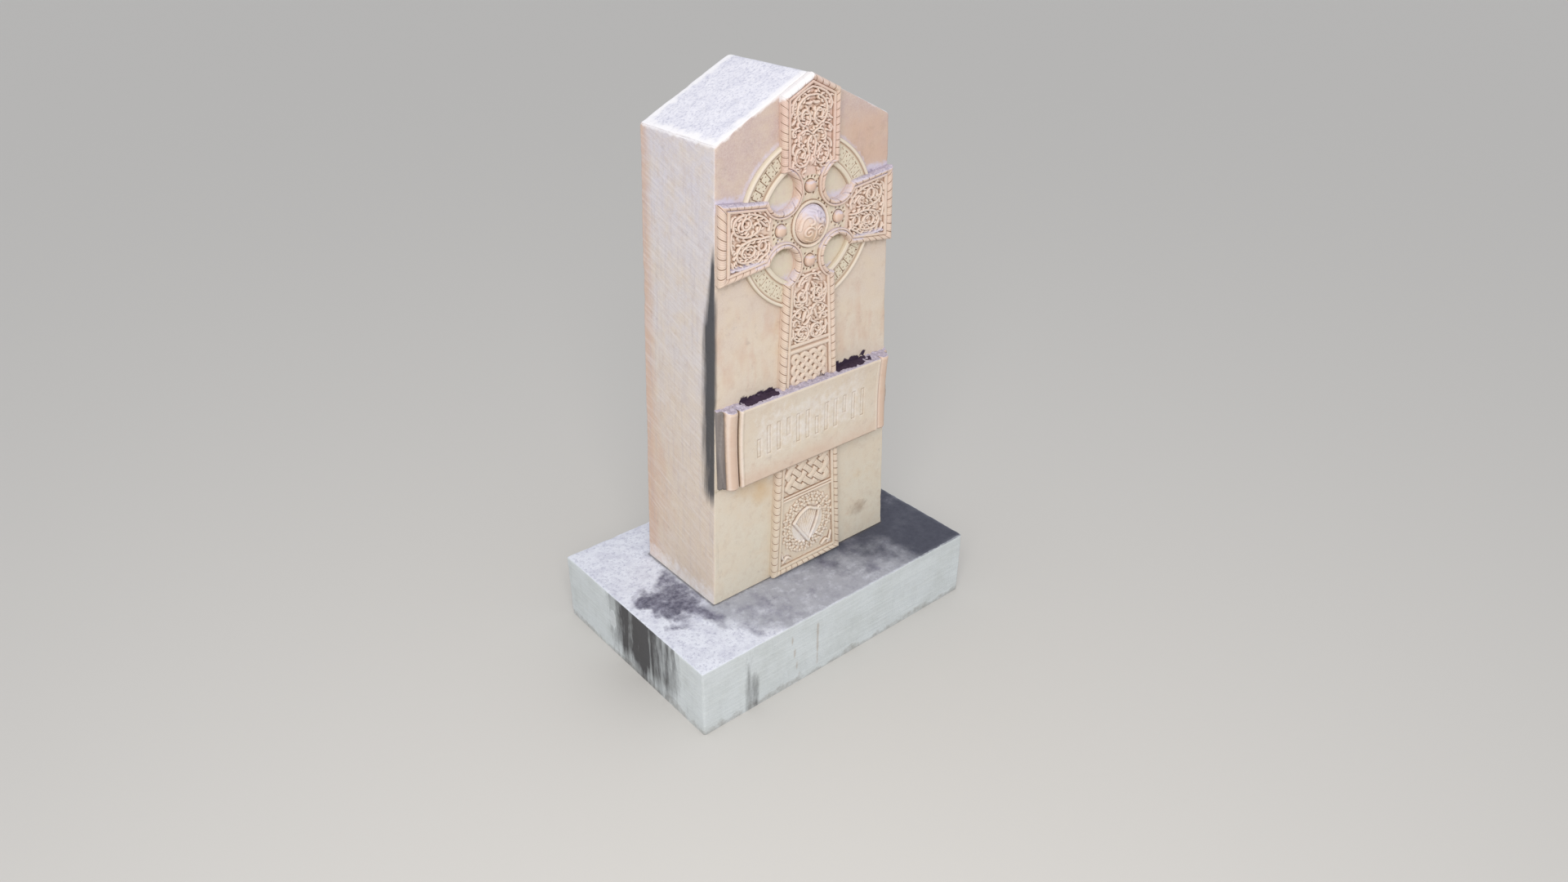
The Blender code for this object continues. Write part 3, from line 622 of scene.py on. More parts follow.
def tablet_weather(spots, ways, kind):
    """The tablet's masks, each read off the photograph as a place in the tablet's own measures."""
    x = spots[:, 0] - TABLET_RIGHT
    y = spots[:, 2] - BASE_HIGH.z
    back = spots[:, 1] - (TABLET_BACK - FOOT_DEPTH / 2 + LEAN * y)
    half = half_width(y)
    left = fade(-ways[:, 0], 0.5, 0.8)
    right = fade(ways[:, 0], 0.5, 0.8)
    rear = fade(ways[:, 1], 0.5, 0.8)
    front = fade(-ways[:, 1], 0.5, 0.8)
    up = fade(ways[:, 2], 0.45, 0.8)
    ragged = rolling(spots * (1, 1, 0.25), 22, 3.1)
    lumps = rolling(spots, 26, 9.4)
    block = float(kind == "block")
    away = np.hypot(x, y - CROSS_CENTRE)
    under_gable = gable_height(x) - y
    banner_top = BANNER_FOOT + BANNER_HEIGHT
    masks = {}

    masks["side"] = block * np.maximum(np.maximum(left, right), rear)
    warm = np.maximum(fade(back, 0.36, 0.47), 0.6 * window(y, 0.15, 0.8, 0.2) * fade(back + 0.08 * ragged, 0.2, 0.45))
    warm = np.maximum(left * warm, front * window(y, 0.95, 1.3, 0.1) * 0.5 * np.clip(0.4 + ragged, 0, 1))
    masks["warm"] = block * np.maximum(warm, front * fade(x, 0.05, 0.25) * window(y, 1.7, 1.95, 0.1) * 0.8)
    in_hollow = 1 - fade(np.hypot(abs(x) - ARMPIT_ACROSS, abs(y - CROSS_CENTRE) - ARMPIT_UP), 0.07, 0.08)
    in_hollow = in_hollow * (back < 0.1)
    sink = (y - CROSS_CENTRE - np.sign(y - CROSS_CENTRE) * ARMPIT_UP) / ARMPIT_RADIUS
    masks["cream"] = np.maximum(1.0 * (kind == "ring"), 0.8 * block * in_hollow)
    # Painted shade in olive-brown: on the upper wall of each round hollow, in a band just under the banner and just
    # under the side arms.
    masks["moss"] = block * in_hollow * fade(sink, 0.35, 0.95)
    below = window(y, BANNER_FOOT - 0.022, BANNER_FOOT, 0.008) * (abs(x) < half) * front
    under_arms = window(y, CROSS_CENTRE - SIDE_ARM_END_HALF - 0.02, CROSS_CENTRE - SIDE_ARM_NECK_HALF, 0.01)
    masks["moss"] = np.maximum(masks["moss"], 0.5 * below)
    masks["moss"] = np.maximum(masks["moss"], 0.35 * block * under_arms * front * fade(abs(x), 0.19, 0.22))

    masks["stain"] = front * (0.75 * window(x, -0.26, -0.2, 0.06) * window(y, 0.36, 0.57, 0.12)
                              + 0.45 * window(x, -0.4, -0.22, 0.08) * window(y, 0.44, 0.58, 0.06)
                              + 0.3 * window(x, 0.25, 0.45, 0.08) * window(y, 0.1, 0.5, 0.2)
                              + 0.35 * window(abs(x), 0.13, 0.17, 0.03) * window(y, 1.0, 1.3, 0.15)) * block
    smudges = np.exp(-((x - 0.34) / 0.085) ** 2 - ((y - 0.15) / 0.07) ** 2)
    smudges += 0.7 * np.exp(-((x + 0.33) / 0.05) ** 2 - ((y - 0.24) / 0.035) ** 2)
    smudges += 0.62 * fade(x, 0.05, 0.25) * window(y, 1.68, 1.98, 0.1)
    masks["smudge"] = np.clip(smudges, 0, 1) * front * block
    masks["dust"] = up * (1.0 if kind == "block" else 0.15)
    slope_out = np.minimum(np.minimum(back, FOOT_DEPTH - 2 * LEAN * y - back), (half - abs(x)) * 1.1)
    bleach = np.maximum(up * (1 - fade(slope_out + 0.02 * lumps, 0.012, 0.06)),
                        left * (1 - fade(y + 0.03 * lumps, 0.03, 0.12)) * 0.6)
    lip = (1 - up) * (1 - fade(under_gable + 0.010 * lumps, 0.002, 0.018)) * (0.72 - 0.3 * fade(x, 0, 0.1))
    masks["bleach"] = block * np.maximum(bleach, lip)
    if kind == "border":
        masks["bleach"] = (1 - fade(under_gable + 0.01 * lumps, 0.012, 0.038)) * (1 - 0.6 * fade(x, -0.01, 0.02))

    over_arm = window(y, CROSS_CENTRE + SIDE_ARM_NECK_HALF - 0.01, CROSS_CENTRE + SIDE_ARM_END_HALF + 0.012, 0.02)
    over_arm *= fade(abs(x), 0.19, 0.24)
    over_ring = window(away, RING_OUTER - 0.004, RING_OUTER + 0.016, 0.014) * fade(y - CROSS_CENTRE, 0.05, 0.15)
    crust = front * block * np.maximum(over_arm * (0.7 + 0.5 * ragged), 0.6 * over_ring)
    crust = np.maximum(crust, block * in_hollow * (1 - fade(sink, -0.95, -0.3)) * 0.7)
    if kind == "border":
        tops = fade(ways[:, 2], 0.15, 0.5)
        crust = tops * np.maximum(over_arm, 0.5 * (y < 1.8) * (away < 0.3))
    if kind == "head":
        masks["stain"] = 0.45 * (away < BOSS_FOOT) * (1 - fade(y - CROSS_CENTRE, -0.05, 0.02))
        reach = abs(x), abs(y - CROSS_CENTRE)
        stud = np.hypot(np.minimum(*reach), np.maximum(*reach) - STUD_OUT) < STUD_RADIUS
        masks["warm"] = 0.9 * stud
        masks["cream"] = 0.75 * window(away, 0.078, 0.19, 0.008) * (1 - stud)
        # The pale upper part of the big boss is a painted highlight.
        crust = np.maximum(0.75 * (away < BOSS_FOOT) * fade(y - CROSS_CENTRE + x * 0.4, -0.02, 0.06),
                           0.5 * window(away, 0.125, 0.165, 0.002) * fade(ways[:, 2], 0.2, 0.6))
        crust = np.maximum(crust, 0.6 * fade(abs(x), 0.21, 0.24) * window(y, 1.462, 1.485, 0.006))
    ledge = window(y, banner_top - 0.012, banner_top + 0.1, 0.002) * (back < 0.01)
    across = x + 0.03 * lumps
    middle_crust = np.maximum(window(across, -0.345, -0.16, 0.012), window(across, 0.15, 0.33, 0.02))
    thin = 0.25 * window(x, -0.16, 0.16, 0.02)
    if kind == "banner":
        inward = 1 - fade(-back + 0.012 * lumps, 0.040, 0.056)
        masks["lichen"] = up * ledge * np.maximum(middle_crust, thin) * inward
        crust = np.maximum(crust, up * ledge)
    else:
        climb = 1 - fade(y - banner_top + 0.02 * lumps, 0.0, 0.03)
        masks["lichen"] = ledge * climb * np.maximum(middle_crust, 1.6 * thin)
    masks["crust"] = crust

    width = 0.028 + 0.075 * fade(1.56 - y, 0.0, 0.42)
    streak = (1 - fade(back + 0.008 * ragged, width * 0.25, width * 1.15)) * window(y, 0.5, 1.55, 0.08)
    onto_face = (1 - fade(half + x, 0.004, 0.018)) * window(y, 0.9, 1.4, 0.06) * front * 0.75
    edge_run = window(half + x, 0.008, 0.022, 0.012) * window(y, 0.06, 0.58, 0.08) * 0.4 * front
    masks["soot"] = block * np.maximum(np.maximum(streak * left, onto_face), edge_run)
    if kind == "banner":
        masks["grey"] = fade(abs(x), 0.437, 0.441) * (1 - 0.6 * fade(x, 0, 0.1)) * (1 - up)
        masks["soot"] = masks["grey"] * 0.3 * (1 - fade(y - BANNER_FOOT, 0.1, 0.26))
        masks["bleach"] = 0.42 * (1 - fade(abs(x), 0.26, 0.38)) * window(y, 0.64, 0.9, 0.08) * front
        masks["warm"] = np.clip(fade(abs(x), BANNER_FACE_HALF - 0.004, BANNER_FACE_HALF + 0.004) * 0.8
                                + (1 - fade(y, BANNER_FOOT + 0.01, BANNER_FOOT + 0.12)) * 0.6, 0, 1)
    if kind == "panel":
        oval = harp_oval(x, y)
        masks["bleach"] = 0.35 * (1 - fade(oval, 0.9, 1.0)) + 0.3 * (1 - fade(y, 0.1, 0.3))
    return masks


def base_weather(spots, ways):
    """The base's masks, as shares of its length and depth."""
    across = (spots[:, 0] - BASE_LOW.x) / (BASE_HIGH.x - BASE_LOW.x)
    deep = (spots[:, 1] - BASE_LOW.y) / (BASE_HIGH.y - BASE_LOW.y)
    high = spots[:, 2]
    left = fade(-ways[:, 0], 0.5, 0.8)
    front = fade(-ways[:, 1], 0.5, 0.8)
    others = np.maximum(fade(ways[:, 0], 0.5, 0.8), fade(ways[:, 1], 0.5, 0.8))
    up = fade(ways[:, 2], 0.45, 0.8)
    ragged = rolling(spots, 9, 3.1)
    blots = rolling(spots, 5, 6.3)
    runs = rolling(spots * (1, 1, 0.04), 24, 5.2)
    wide_runs = rolling(spots * (1, 1, 0.03), 7, 8.2)

    oval = 1 - fade(np.hypot((deep - 0.64) / 0.022, (high - 0.19) / 0.05), 0.7, 1.1)
    soot = window(deep, 0.2, 0.62, 0.15) * (1.0 + 0.4 * runs)
    soot *= left * (1 - oval) * (0.55 + 0.45 * fade(high, 0.02, 0.12))
    spine = window(across, 0.15, 0.18, 0.03) * (0.95 - 0.6 * fade(high, 0.08, 0.28))
    soot = np.maximum(soot, front * spine * (0.9 + 0.5 * runs))
    soot = np.maximum(soot, others * 0.5 * np.clip(wide_runs * 1.5, 0, 1))
    crack = np.minimum(abs(across - 0.30 - 0.12 * (0.3 - high)), abs(across - 0.405 + 0.02 * high))
    stain = front * 0.8 * (1 - fade(crack, 0.001, 0.005)) * window(high, 0.03, 0.27, 0.02)
    splash = (left + front + others) * (1 - fade(high + 0.03 * ragged, 0.006, 0.06))

    left_patch = window(across + 0.05 * ragged, 0.03, 0.2, 0.05) * window(deep + 0.12 * blots, 0.27, 0.66, 0.12)
    front_patch = (1 - fade(deep, 0.33, 0.40)) * (0.55 * window(across, 0.16, 0.62, 0.08)
                                                 + 0.95 * fade(across + 0.6 * deep + 0.1 * blots, 0.62, 0.95))
    right_patch = fade(across, 0.8, 0.88)
    back_patch = 0.6 * fade(deep, 0.8, 0.9) * fade(across, 0.3, 0.6)
    lichen = np.maximum(np.maximum(left_patch, front_patch), np.maximum(right_patch, back_patch))
    arris = np.minimum(deep, 1 - deep) * (BASE_HIGH.y - BASE_LOW.y)
    arris = np.minimum(arris, np.minimum(across, 1 - across) * (BASE_HIGH.x - BASE_LOW.x))
    lichen = lichen * (0.55 + 0.45 * fade(arris, 0.004, 0.03))
    slate = up * (right_patch * 0.8 + front_patch * fade(across + 0.5 * deep, 0.52, 0.8) * 0.9)
    foot = np.maximum(abs(spots[:, 0] - TABLET_RIGHT) - FOOT_WIDTH / 2,
                      abs(spots[:, 1] - TABLET_BACK) - FOOT_DEPTH / 2)
    joint = up * (1 - fade(foot, 0.004, 0.016))
    grey = up * (1 - fade(deep, 0.33, 0.40)) * fade(across + 0.08 * blots - 0.4 * (0.2 - deep), 0.14, 0.3)
    grey = np.maximum(grey * 0.85, up * (1 - fade(foot, 0.01, 0.05)) * 0.5)
    return {"soot": soot, "stain": stain, "smudge": splash * 0.6, "dust": up, "side": left + front + others,
            "lichen": up * np.clip(lichen + 0.25 * ragged, 0, 1), "moss": slate, "bleach": oval * left,
            "crust": np.maximum(up * (1 - fade(arris, 0.004, 0.016)) * 0.7, 0.0), "warm": joint, "grey": grey}


# Materials

def linear(code):
    """An sRGB hex colour as linear RGBA."""
    parts = [int(code[k:k + 2], 16) / 255 for k in (1, 3, 5)]
    return [part / 12.92 if part <= 0.04045 else ((part + 0.055) / 1.055) ** 2.4 for part in parts] + [1.0]


def add(tree, kind, sockets=None, **settings):
    """Adds a node with its settings; each socket takes a value or a link from another node's output."""
    made = tree.nodes.new(kind)
    for name, value in settings.items():
        setattr(made, name, value)
    for socket, value in (sockets or {}).items():
        if isinstance(value, bpy.types.NodeSocket):
            tree.links.new(value, made.inputs[socket])
        else:
            made.inputs[socket].default_value = value
    return made


def start_material(name):
    """An empty material with its shader and object coordinates."""
    material = bpy.data.materials.new(name)
    material.use_nodes = True
    tree = material.node_tree
    shader = tree.nodes["Principled BSDF"]
    place = add(tree, "ShaderNodeTexCoord").outputs["Object"]
    return material, tree, shader, place


def patchy(tree, place, name, size_mm, low, high, share=1.0, detail=5.0):
    """A weathering mask broken up by grain of a size: 0 below low and 1 above high."""
    mask = add(tree, "ShaderNodeAttribute", attribute_name=name).outputs["Fac"]
    grain = add(tree, "ShaderNodeTexNoise", {"Vector": place, "Scale": 1000 / size_mm, "Detail": detail,
                                             "Roughness": 0.68})
    broken = add(tree, "ShaderNodeMath", {0: mask, 1: grain.outputs["Fac"]}, operation="ADD")
    return ranged(tree, broken.outputs[0], low, high, share)


def ranged(tree, value, low, high, share=1.0):
    """A value spread from 0 at low to a share at high."""
    return add(tree, "ShaderNodeMapRange", {"Value": value, "From Min": low, "From Max": high,
                                            "To Min": 0.0, "To Max": share}, clamp=True).outputs[0]


def speckled(tree, place, size_mm, low, high, share, detail=4.0):
    """Noise of a grain size as a mask."""
    grain = add(tree, "ShaderNodeTexNoise", {"Vector": place, "Scale": 1000 / size_mm, "Detail": detail,
                                             "Roughness": 0.65})
    return ranged(tree, grain.outputs["Fac"], low, high, share), grain.outputs["Fac"]


def tool_marks(tree, place, tilt, length_mm, pitch_mm):
    """Noise drawn out along a chisel's strokes, which slope down to the front by an angle."""
    drawn = add(tree, "ShaderNodeMapping", {"Vector": place, "Rotation": (math.radians(tilt), 0, 0),
                                            "Scale": (length_mm / 1000, length_mm / 1000, pitch_mm / 1000)},
                vector_type="TEXTURE").outputs[0]
    return add(tree, "ShaderNodeTexNoise", {"Vector": drawn, "Scale": 1.0, "Detail": 3.0}).outputs["Fac"]


def stretched(tree, place, length_mm, width_mm):
    """Places drawn out upwards, for stains that run down a face."""
    return add(tree, "ShaderNodeMapping", {"Vector": place, "Scale": (1, 1, length_mm / width_mm)},
               vector_type="TEXTURE").outputs[0]


def layered(tree, colour, layers):
    """Lays colours over each other, each by its mask; a colour is a hex code or a node's output."""
    for mask, over in layers:
        over = linear(over) if isinstance(over, str) else over
        colour = add(tree, "ShaderNodeMix", {0: mask, 6: colour, 7: over}, data_type="RGBA").outputs[2]
    return colour


def finish_stone(tree, shader, colour, roughness, speckle, grain_bump, marks, side):
    """Gives a shader its colour, its matt surface and two bumps: grains all over, and tool marks on the sides."""
    tree.links.new(colour, shader.inputs["Base Color"])
    shader.inputs["Roughness"].default_value = roughness
    shader.inputs["Specular IOR Level"].default_value = 0.25
    distance, strength = grain_bump
    grain = add(tree, "ShaderNodeBump", {"Height": speckle, "Distance": distance, "Strength": strength}).outputs[0]
    tooling = add(tree, "ShaderNodeBump", {"Height": marks, "Distance": 0.002, "Strength": side,
                                           "Normal": grain}).outputs[0]
    tree.links.new(tooling, shader.inputs["Normal"])


def sandstone(name, high, middle, low, hollow):
    """Fine sandstone, rubbed smooth and weathered for a century: warm, chalky and quite matt. It also carries painted
    light: shade in the carving's hollows in the hollow colour, olive-brown shade in the round hollows and under the
    banner and arms, and a pale highlight on crests and on the boss.
    """
    material, tree, shader, place = start_material(name)
    height = add(tree, "ShaderNodeSeparateXYZ", {0: place}).outputs["Z"]
    drift = add(tree, "ShaderNodeTexNoise", {"Vector": place, "Scale": 2.2, "Detail": 3.0}).outputs["Fac"]
    uneven = add(tree, "ShaderNodeMath", {0: drift, 1: 0.9, 2: height}, operation="MULTIPLY_ADD").outputs[0]
    lower, upper = ranged(tree, uneven, 0.9, 1.75), ranged(tree, uneven, 1.9, 2.6)
    colour = layered(tree, low, [(lower, middle), (upper, high)])
    side_colour = layered(tree, linear("#D6C5B6"), [(ranged(tree, uneven, 1.1, 1.9), "#D2CBCC"),
                                                    (ranged(tree, uneven, 1.9, 2.7), "#CFCBD6")])
    side = add(tree, "ShaderNodeAttribute", attribute_name="side").outputs["Fac"]
    colour = layered(tree, colour, [(side, side_colour)])

    # Chisel strokes 6 mm apart on the sides, drawn at 12 mm so that they show
    marks = tool_marks(tree, place, 20, 120, 12)
    falls = stretched(tree, place, 260, 18)
    pale_marks = add(tree, "ShaderNodeMath", {0: ranged(tree, marks, 0.48, 0.78, 0.34), 1: side},
                     operation="MULTIPLY").outputs[0]
    runs = speckled(tree, falls, 18, 0.5, 0.72, 0.35)[0]
    side_runs = add(tree, "ShaderNodeMath", {0: runs, 1: side}, operation="MULTIPLY").outputs[0]
    # Grains of 1 to 2 mm, drawn at 6 mm so that they show
    light, speckle = speckled(tree, place, 6, 0.35, 0.68, 0.30)
    cloud = speckled(tree, place, 90, 0.42, 0.66, 0.45)[0]
    shade = speckled(tree, place, 34, 0.50, 0.74, 0.30, 6.0)[0]
    cavity = add(tree, "ShaderNodeAttribute", attribute_name="cavity").outputs["Fac"]
    colour = layered(tree, colour, [
        (light, "#EAE2D8"),
        (cloud, "#DDCDB8"),
        (shade, "#BFA795"),
        (patchy(tree, place, "cream", 40, 0.9, 1.4, 0.8), "#DAD3BF"),
        (patchy(tree, place, "warm", 80, 0.65, 1.35, 0.7), "#D0B09D"),
        (side_runs, "#B9B0B6"),
        (pale_marks, "#EAE5E6"),
        # Painted light from the carving's shape: a pale highlight on crests, then brown shade in hollows and grooves,
        # darkest where deepest.
        (ranged(tree, cavity, -0.15, -0.75, 0.55), "#F1E2D8"),
        (ranged(tree, cavity, 0.05, 0.55, 0.85), hollow),
        (ranged(tree, cavity, 0.5, 1.0, 0.85), "#5C4738"),
        # Olive-brown painted shade on the upper walls of the round hollows and under the banner and side arms.
        (patchy(tree, place, "moss", 18, 0.75, 1.35, 0.7), "#857453"),
        (patchy(tree, place, "stain", 80, 0.75, 1.5, 0.7), "#D0AB76"),
        (patchy(tree, place, "smudge", 38, 1.12, 1.55, 0.6, 8.0), "#9A836F"),
        (patchy(tree, place, "dust", 9, 0.75, 1.3), "#EAEAF4"),
        (patchy(tree, place, "dust", 60, 1.42, 1.68, 0.5, 8.0), "#C6C7DA"),
        (patchy(tree, place, "dust", 11, 1.48, 1.66, 0.6), "#A9ABC2"),
        (patchy(tree, place, "bleach", 30, 0.8, 1.4, 0.85, 8.0), "#F6F5F9"),
        # Lavender crust, and on the boss's upper part a painted highlight.
        (patchy(tree, place, "crust", 16, 0.72, 1.15, 0.85), "#D4CEDF"),
        (patchy(tree, place, "crust", 9, 1.35, 1.55, 0.6), "#8D839B"),
        (patchy(tree, place, "grey", 40, 0.6, 1.2, 0.95), "#878180"),
        (patchy(tree, falls, "soot", 25, 0.72, 1.35, 0.92), "#393C42"),
        (patchy(tree, place, "lichen", 22, 0.8, 1.02, 1.0, 8.0), "#3D2F42"),
    ])
    finish_stone(tree, shader, colour, 0.9, speckle, (0.0012, 0.7), marks, side)
    return material


def limestone(name, base):
    """Grey limestone, tooled on its sides and rough on top: pale, cold and dusty, with dark lichen."""
    material, tree, shader, place = start_material(name)
    side = add(tree, "ShaderNodeAttribute", attribute_name="side").outputs["Fac"]
    # Drafted lines 4 mm apart on the sides, drawn at 9 mm so that they show
    marks = tool_marks(tree, place, 0, 200, 9)
    falls = stretched(tree, place, 120, 25)
    runs = speckled(tree, falls, 30, 0.5, 0.75, 0.2)[0]
    on_side = add(tree, "ShaderNodeMath", {0: ranged(tree, marks, 0.46, 0.75, 0.28), 1: side},
                  operation="MULTIPLY").outputs[0]
    run_side = add(tree, "ShaderNodeMath", {0: runs, 1: side}, operation="MULTIPLY").outputs[0]
    light, speckle = speckled(tree, place, 7, 0.35, 0.65, 0.35, 5.0)
    cloud = speckled(tree, place, 140, 0.42, 0.66, 0.5, 6.0)[0]
    colour = layered(tree, base, [
        (light, "#DFE5E6"),
        (cloud, "#BEC3C2"),
        (run_side, "#ACB2B4"),
        (on_side, "#E6ECED"),
        (patchy(tree, place, "smudge", 25, 0.85, 1.4, 0.7, 8.0), "#857C72"),
        (patchy(tree, place, "stain", 30, 0.8, 1.3, 0.5), "#A18A74"),
        (patchy(tree, place, "dust", 30, 0.75, 1.2), "#E2E6F2"),
        (patchy(tree, place, "dust", 70, 1.46, 1.72, 0.6, 10.0), "#B5B6CB"),
        (patchy(tree, place, "dust", 13, 1.5, 1.68, 0.6), "#9A9CB5"),
        (patchy(tree, place, "grey", 55, 0.75, 1.35, 0.8, 10.0), "#9A9CA6"),
        (patchy(tree, place, "dust", 48, 1.54, 1.68, 0.6, 10.0), "#D3D7E4"),
        (patchy(tree, place, "lichen", 60, 1.05, 1.4, 0.65, 12.0), "#716F85"),
        (patchy(tree, place, "lichen", 24, 1.22, 1.62, 0.85, 12.0), "#3F3D52"),
        # Dark slate patches on the base's top.
        (patchy(tree, place, "moss", 50, 0.62, 1.35, 0.85, 10.0), "#4A4D59"),
        (patchy(tree, place, "warm", 14, 0.9, 1.4, 0.6), "#5A5550"),
        (patchy(tree, place, "crust", 14, 0.95, 1.35, 0.7, 8.0), "#E0E4EE"),
        (patchy(tree, falls, "soot", 30, 0.72, 1.35, 0.92, 8.0), "#3C393B"),
        (patchy(tree, place, "bleach", 12, 0.9, 1.3, 0.8), "#C9CDD0"),
    ])
    finish_stone(tree, shader, colour, 0.93, speckle, (0.002, 0.8), marks, side)
    return material


def stone(kind):
    """The material of a kind of stone, made once."""
    names = {"face": "sandstone, rubbed face", "cross": "sandstone, carved", "limestone": "limestone, tooled"}
    if names[kind] in bpy.data.materials:
        return bpy.data.materials[names[kind]]
    colours = bpy.context.scene.headstone_colours
    if kind == "limestone":
        return limestone(names[kind], tuple(colours.base))
    if kind == "cross":
        # Each sandstone's last colour is the painted shade in its carving's hollows.
        return sandstone(names[kind], "#DBBEB2", "#E3CFC0", tuple(colours.carving), "#AA8A76")
    return sandstone(names[kind], "#C3ADA9", "#DACCBD", tuple(colours.face), "#A9907A")


# Blocks

def stops(length, cell, fine):
    """Places along a length: close together near both ends, for the worn arrises, and even between."""
    near = [fine * share for share in (0, 0.2, 0.45, 0.75, 1.15, 1.7)]
    count = max(2, round((length - 2 * near[-1]) / cell))
    middle = np.linspace(near[-1], length - near[-1], count + 1)[1:-1]
    return np.concatenate([near, middle, [length - value for value in reversed(near)]]) / length


def block_shell(sizes, cell, fine):
    """A box of graded quads from -1 to 1, with the share of each vertex along each side."""
    steps = [stops(size, cell, fine) for size in sizes]
    bm = bmesh.new()
    bmesh.ops.create_grid(bm, x_segments=len(steps[0]) - 1, y_segments=len(steps[1]) - 1, size=0.5)
    for index, vert in enumerate(bm.verts):
        column, row = index % len(steps[0]), index // len(steps[0])
        vert.co = (steps[0][column], steps[1][row], 0)
    made = bmesh.ops.extrude_face_region(bm, geom=bm.faces[:])["geom"]
    for item in made:
        if isinstance(item, bmesh.types.BMVert):
            item.co.z = 1
    risers = [edge for edge in bm.edges if abs(edge.verts[0].co.z - edge.verts[1].co.z) > 0.5]
    bmesh.ops.subdivide_edges(bm, edges=risers, cuts=len(steps[2]) - 2, use_grid_fill=True)
    for vert in bm.verts:
        level = round(vert.co.z * (len(steps[2]) - 1))
        vert.co.z = steps[2][level]
    return bm


def worn(distances, radius):
    """How far each place moves in from three faces to round the arrises off."""
    reach = np.clip(radius[:, None] - distances, 0, None)
    length = np.linalg.norm(reach, axis=1)
    share = np.where(length > radius, 1 - radius / np.maximum(length, 1e-9), 0)
    return reach * share[:, None]


def set_places(bm, spots):
    for vert, spot in zip(bm.verts, spots.tolist()):
        vert.co = spot


def base_block():
    """The base block: flat below, tooled sides, a rough pitted top and chipped arrises."""
    size = BASE_HIGH - BASE_LOW
    bm = block_shell(size, BLOCK_CELL, 0.007)
    shares = np.array([vert.co[:] for vert in bm.verts])
    spots = np.array(BASE_LOW) + shares * np.array(size)
    wear = rolling(spots, 9, 2.0) + rolling(spots, 40, 7.0) * 0.5
    radius = 0.008 + 0.007 * np.clip(wear + 0.2, 0, 1.6)
    to_side = np.minimum(spots[:, 0] - BASE_LOW.x, BASE_HIGH.x - spots[:, 0])
    to_front = np.minimum(spots[:, 1] - BASE_LOW.y, BASE_HIGH.y - spots[:, 1])
    to_top = BASE_HIGH.z - spots[:, 2]
    moves = worn(np.stack([to_side, to_front, to_top], 1), radius)
    signs = np.sign(shares - 0.5)
    pits = rolling(spots, 14, 4.0) + 0.6 * rolling(spots, 55, 6.0)
    on_top = to_top < 1e-6
    rough = np.where(on_top, 0.0012 + 0.0011 * pits, 0.0006 + 0.0005 * pits)
    rough = np.clip(rough, 0, 0.004)
    flat = np.stack([to_side < 1e-6, to_front < 1e-6, on_top], 1)
    moves = moves + flat * rough[:, None]
    spots = spots - moves * np.where(signs == 0, 1, signs)
    spots[:, 2] = np.where(shares[:, 2] == 0, BASE_LOW.z, spots[:, 2])
    set_places(bm, spots)
    return bm


def tablet_block():
    """The tablet's plain block: tapered, gabled, and worn along its arrises."""
    bm = block_shell((FOOT_WIDTH, APEX, FOOT_DEPTH), BLOCK_CELL, 0.006)
    shares = np.array([vert.co[:] for vert in bm.verts])
    crown = APEX - GABLE_RISE * np.sqrt((shares[:, 0] * 2 - 1) ** 2 + 0.0006)
    y = shares[:, 1] * crown
    half = half_width(np.minimum(y, SHOULDER_HEIGHT))
    x = (shares[:, 0] * 2 - 1) * half
    depth = FOOT_DEPTH - 2 * LEAN * y
    z = -shares[:, 2] * depth
    spots = np.stack([x, y, z], 1)
    wear = rolling(spots, 7, 11.0) + rolling(spots, 35, 5.0) * 0.5
    radius = 0.006 + 0.006 * np.clip(wear + 0.2, 0, 1.6)
    slope = math.atan(2 * GABLE_RISE / SHOULDER_WIDTH)
    to_side = half - abs(x)
    to_top = (crown - y) * math.cos(slope)
    to_face = np.minimum(-z, depth + z)
    moves = worn(np.stack([to_side, to_top, to_face], 1), radius)
    ripple = rolling(spots, 5, 1.0) * 0.6 + rolling(spots, 30, 8.0) * 0.4
    rough = np.clip(0.0005 + 0.0006 * ripple, 0, 0.003)
    top = to_top < 1e-5
    rough = np.where(top, rough * 2.2, rough)
    flat = np.stack([to_side < 1e-6, top, to_face < 1e-6], 1)
    moves = moves + flat * rough[:, None]
    side = np.sign(x)
    spots[:, 0] -= side * (moves[:, 0] + moves[:, 1] * math.sin(slope))
    spots[:, 1] -= moves[:, 1] * math.cos(slope)
    spots[:, 2] += np.where(shares[:, 2] < 0.5, -1, 1) * moves[:, 2]
    spots[:, 1] = np.where(shares[:, 1] == 0, 0, spots[:, 1])
    set_places(bm, spots)
    bmesh.ops.transform(bm, matrix=standing(), verts=bm.verts)
    return bm


# Carved reliefs

def ground(x, y, rough=0.0006):
    """A panel's sunk ground, punched slightly uneven."""
    wave = np.sin(x * 610 + 3 * np.sin(y * 330)) * np.sin(y * 570 + 2 * np.sin(x * 410))
    return GROUND + rough * wave


